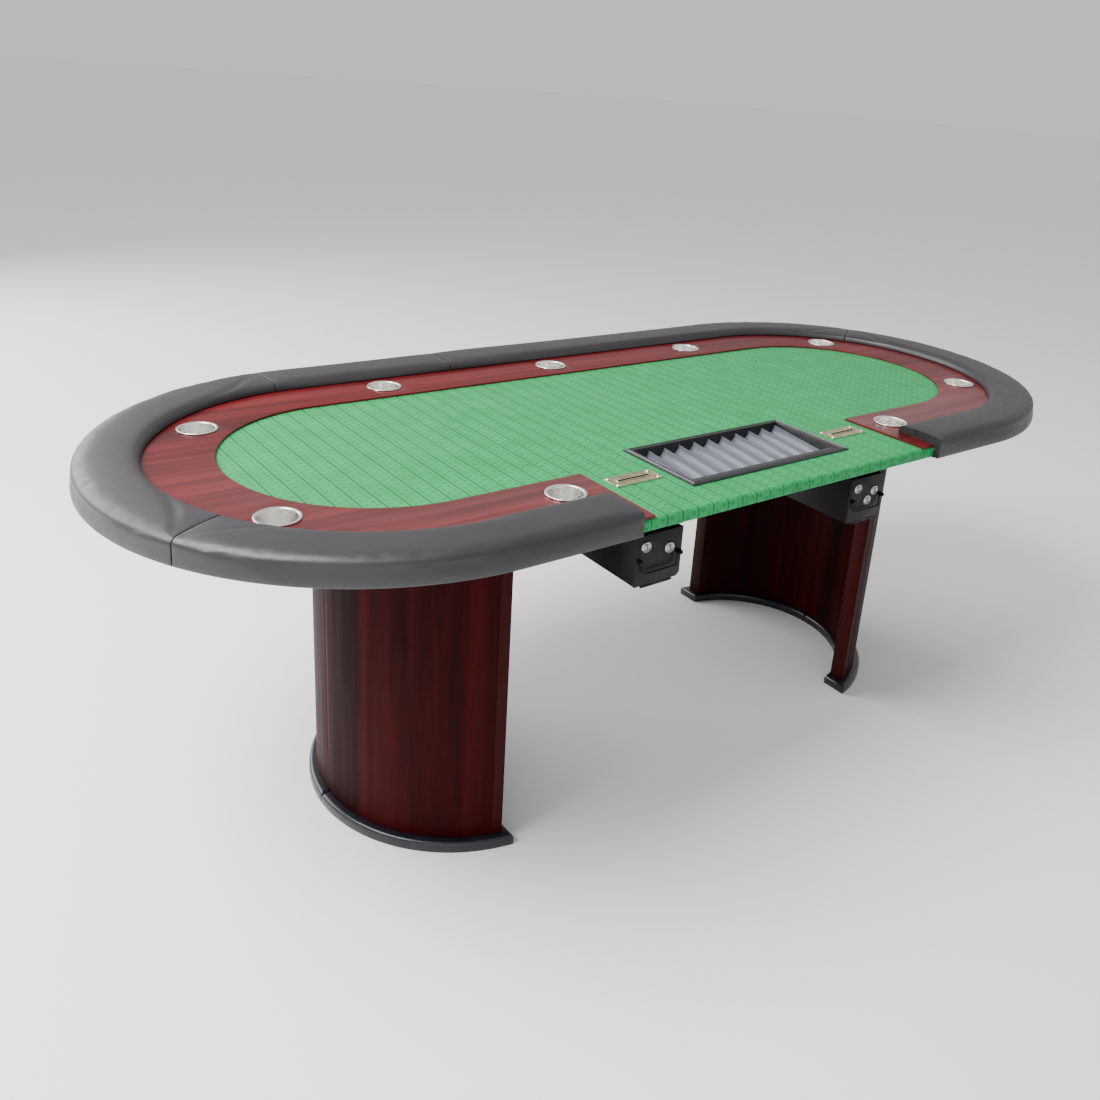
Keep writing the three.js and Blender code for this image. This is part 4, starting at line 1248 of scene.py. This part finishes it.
def makeDoor(name, x, front):
    low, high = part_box(f"drop_box_door_{name}")
    half, notch = (high.x - low.x) / 2, boxSet["notch"]
    bottom, top, thick = bottomOf(name), high.z, boxSet["doorThick"]
    outline = [(x - half, bottom), (x + half - notch, bottom), (x + half, bottom + notch), (x + half, top),
               (x - half, top)]
    door = pulled(f"drop_box_door_{name}_panel", outline, front, front + thick, 0.0007)
    cutWith(door, [roundTool((lockX, 0, lockZ), boxSet["barrel"] + 0.0003, front - 0.01, front + 0.02, 48,
                             lying=True) for lockX, lockZ in lockPlaces(name).values()])
    pivot = top - boxSet["pivotDrop"]
    parts = [door]
    standoff, radius, back = boxSet["standoff"], boxSet["lugHeight"], -boxSet["lugBase"]
    for side in (-1, 1):
        lugX = x + side * (half - boxSet["lugInset"])
        ear = [(back, -radius), (standoff, -radius)]
        ear += [(standoff + radius * math.sin(math.radians(angle)), -radius * math.cos(math.radians(angle)))
                for angle in range(15, 180, 15)]
        ear += [(standoff, radius), (back, radius)]
        lug = solidFrom("lug", [(lugX - boxSet["lug"], front - out, pivot + rise) for out, rise in ear],
                        (2 * boxSet["lug"], 0, 0))
        easeEdges(lug, 0.0004)
        cutWith(lug, [rod("tool", lugX - 0.015, lugX + 0.015, front - standoff, pivot,
                          boxSet["wire"] + 0.0003, 32)])
        parts.append(lug)
    radius = boxSet["hingeRadius"]
    hingeY, hingeZ = front + radius, bottom - radius - boxSet["gap"]
    end = boxSet["doorKnuckle"]
    parts.append(barrel(x - end, x + end, hingeY, hingeZ, radius, boxSet["pinRadius"] + 0.0007))
    parts.append(block("leaf", (x - end, front + 0.0002, hingeZ),
                       (x + end, front + 0.0016, bottom + 0.001), 0.0003))
    panel = join(parts, f"drop_box_door_{name}_panel")
    smooth(panel, 30)
    finish(panel, "powder", "black_sheet_metal", f"drop_box_door_{name}", f"drop_box_door_{name}")


def makeLocks(name, front):
    for kind, (x, z) in lockPlaces(name).items():
        low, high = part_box(f"{kind}_{name}")
        face, depth = front - low.y, high.y - front
        bezel, stem, curve = boxSet["lockRadius"], boxSet["barrel"], boxSet["lockRound"]
        profile = [(0, -depth), (stem - 0.0005, -depth), (stem, -depth + 0.0005), (stem, boxSet["gap"]),
                   (bezel - 0.0003, boxSet["gap"]), (bezel, boxSet["gap"] + 0.0004)]
        profile += [(bezel - curve * math.sin(math.radians(angle)),
                     face - curve + curve * math.sin(math.radians(angle))) for angle in (0, 25, 50, 75, 90)]
        profile += [(0.0090, face - 0.0001), (0.0083, face - 0.0013), (0.0070, face - 0.0016),
                    (0.0064, face - 0.0008), (0.0052, face - 0.0003), (0.0030, face - 0.0001), (0, face)]
        lock = turned(f"{kind}_{name}_body", profile, (x, front, z), 48, lying=True)
        key, keyWide = boxSet["keyHalf"], boxSet["keyWide"]
        cutWith(lock, [block("tool", (x - keyWide, front - face - 0.002, z - key),
                             (x + keyWide, front - face + boxSet["keyDeep"], z + key))])
        cam = block("cam", (x - boxSet["camWidth"] / 2, high.y - 0.003, z - 0.004),
                    (x + boxSet["camWidth"] / 2, high.y - 0.001, z + boxSet["camLength"]), 0.0004)
        nutProfile = [(0, -depth - 0.0006), (0.0035, -depth - 0.0006), (0.004, -depth),
                      (0.004, -depth + 0.001), (0, -depth + 0.001)]
        nut = turned("nut", nutProfile, (x, front, z), 6, lying=True)
        piece = join([lock, cam, nut], f"{kind}_{name}_body")
        smooth(piece, 35)
        finish(piece, "lock", "lock_chrome", f"{kind}_{name}", f"{kind}_{name}")


def makeHandle(name, x, front):
    wire, bend = boxSet["wire"], boxSet["bend"]
    low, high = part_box(f"bail_handle_{name}")
    y, pivot = front - boxSet["standoff"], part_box(f"drop_box_door_{name}")[1].z - boxSet["pivotDrop"]
    half, fall = boxSet["handleHalf"], boxSet["handleDrop"]
    clearSelection()
    bpy.ops.mesh.primitive_circle_add(vertices=20, radius=wire, fill_type="NGON",
                                      rotation=(0, math.pi / 2, 0), location=(low.x, y, pivot))
    handle = named(f"bail_handle_{name}_wire")
    settle(handle)
    edit(handle)

    def go(dx, dz):
        pull((dx, 0, dz))

    def curl(centreX, centreZ, degrees):
        bpy.ops.mesh.spin(steps=8, angle=-math.radians(degrees), center=(centreX, y, centreZ), axis=(0, 1, 0))

    go(x - half - bend - low.x, 0)
    curl(x - half - bend, pivot - bend, 90)
    go(0, -(fall - 2 * bend))
    curl(x - half + bend, pivot - fall + bend, -90)
    go(2 * half - 2 * bend, 0)
    curl(x + half - bend, pivot - fall + bend, -90)
    go(0, fall - 2 * bend)
    curl(x + half + bend, pivot - bend, 90)
    go(high.x - (x + half + bend), 0)
    bpy.ops.mesh.select_all(action="SELECT")
    bpy.ops.mesh.remove_doubles(threshold=1e-6)
    facesOut()
    smooth(handle, 40)
    finish(handle, "powder", "black_sheet_metal", f"bail_handle_{name}", f"bail_handle_{name}")


def makeDropBoxes():
    for name, side in (("left", -1), ("right", 1)):
        x = side * plateSet["x"]
        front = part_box(f"drop_bracket_{name}")[0].y - boxSet["doorThick"] - boxSet["gap"]
        makeBracket(name, x)
        makeBoxBody(name, x, front)
        makeDoor(name, x, front)
        makeLocks(name, front)
        makeHandle(name, x, front)
        paintNode(f"door_hinge_pin_{name}", "chrome")
    say("drop boxes")


# Legs: two half-moons, each in two halves on rounded plinths.

legSet = {
    "centre": 0.470, "radius": 0.321, "thick": 0.040, "seam": 0.0003, "steps": 44,
    "plinthOut": 0.017, "plinthIn": 0.0085, "plinthRound": 0.009, "plinthEdge": 0.0008,
    "edge": 0.0007, "postEdge": 0.0009,
}


def legOutline(outer, inner, seam, endX, side, end, startX=None):
    # the plan of a curved band from the seam at the leg's middle to the line x = endX
    rows = []
    centre = legSet["centre"]
    for radius in (outer, inner):
        first = math.asin(seam / radius) if startX is None else math.acos((startX - centre) / radius)
        last = math.acos((endX - centre) / radius)
        count = legSet["steps"] if startX is None else 4
        angles = [first + (last - first) * step / count for step in range(count + 1)]
        rows.append([(side * (centre + radius * math.cos(angle)), end * radius * math.sin(angle))
                     for angle in angles])
    return rows[0] + rows[1][::-1]


def makeLegs():
    radius = legSet["radius"]
    inner = radius - legSet["thick"]
    for sideName, side in (("left", -1), ("right", 1)):
        for endName, end in (("front", -1), ("back", 1)):
            name = f"{sideName}_{endName}"
            low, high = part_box(f"leg_panel_{name}")
            panelEnd = min(abs(low.x), abs(high.x))
            panel = plateOf(f"leg_{name}_veneer",
                            legOutline(radius, inner, legSet["seam"], panelEnd, side, end),
                            low.z, high.z, legSet["edge"])
            smooth(panel, 30)
            finish(panel, "veneer", "leg_veneer", "table", f"leg_panel_{name}")
            postLow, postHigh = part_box(f"leg_post_{name}")
            xs = sorted((abs(postLow.x), abs(postHigh.x)))
            post = plateOf(f"leg_{name}_post", legOutline(radius, inner, 0, xs[0], side, end, xs[1]),
                           postLow.z, postHigh.z, legSet["postEdge"])
            smooth(post, 30)
            finish(post, "post", "leg_veneer", "table", f"leg_post_{name}")

            footLow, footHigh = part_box(f"leg_plinth_{name}")
            footEnd = min(abs(footLow.x), abs(footHigh.x))
            foot = plateOf(f"leg_{name}_foot",
                           legOutline(radius + legSet["plinthOut"], inner - legSet["plinthIn"],
                                      legSet["seam"], footEnd, side, end), footLow.z, footHigh.z)
            chooseEdges(foot, lambda a, b: a.z > footHigh.z - 1e-5 and b.z > footHigh.z - 1e-5
                        and not (abs(a.y) < 0.001 and abs(b.y) < 0.001))
            bpy.ops.mesh.bevel(offset=legSet["plinthRound"], segments=6, affect="EDGES", clamp_overlap=True)
            done()
            easeEdges(foot, legSet["plinthEdge"], 0.7)
            smooth(foot, 40)
            finish(foot, "plinth", "plinth", "table", f"leg_plinth_{name}")
    say("legs")


def paintHiddenNodes():
    # pieces whose plain shape is right keep it and get their finish
    for nodeName, paint in (("table_board", "plywood"), ("rail_core", "plywood"), ("foam_underlay", "foam"),
                            ("leg_mount_plate_left", "plywood"), ("leg_mount_plate_right", "plywood")):
        paintNode(nodeName, paint)


makeCamera()
makeStudio()
say("camera and studio")
makeCups()
makeRacetrack()
makeTray()
makeSlotPlates()
makeCloth()
makeDropBoxes()
makeLegs()
paintHiddenNodes()
makeRail()
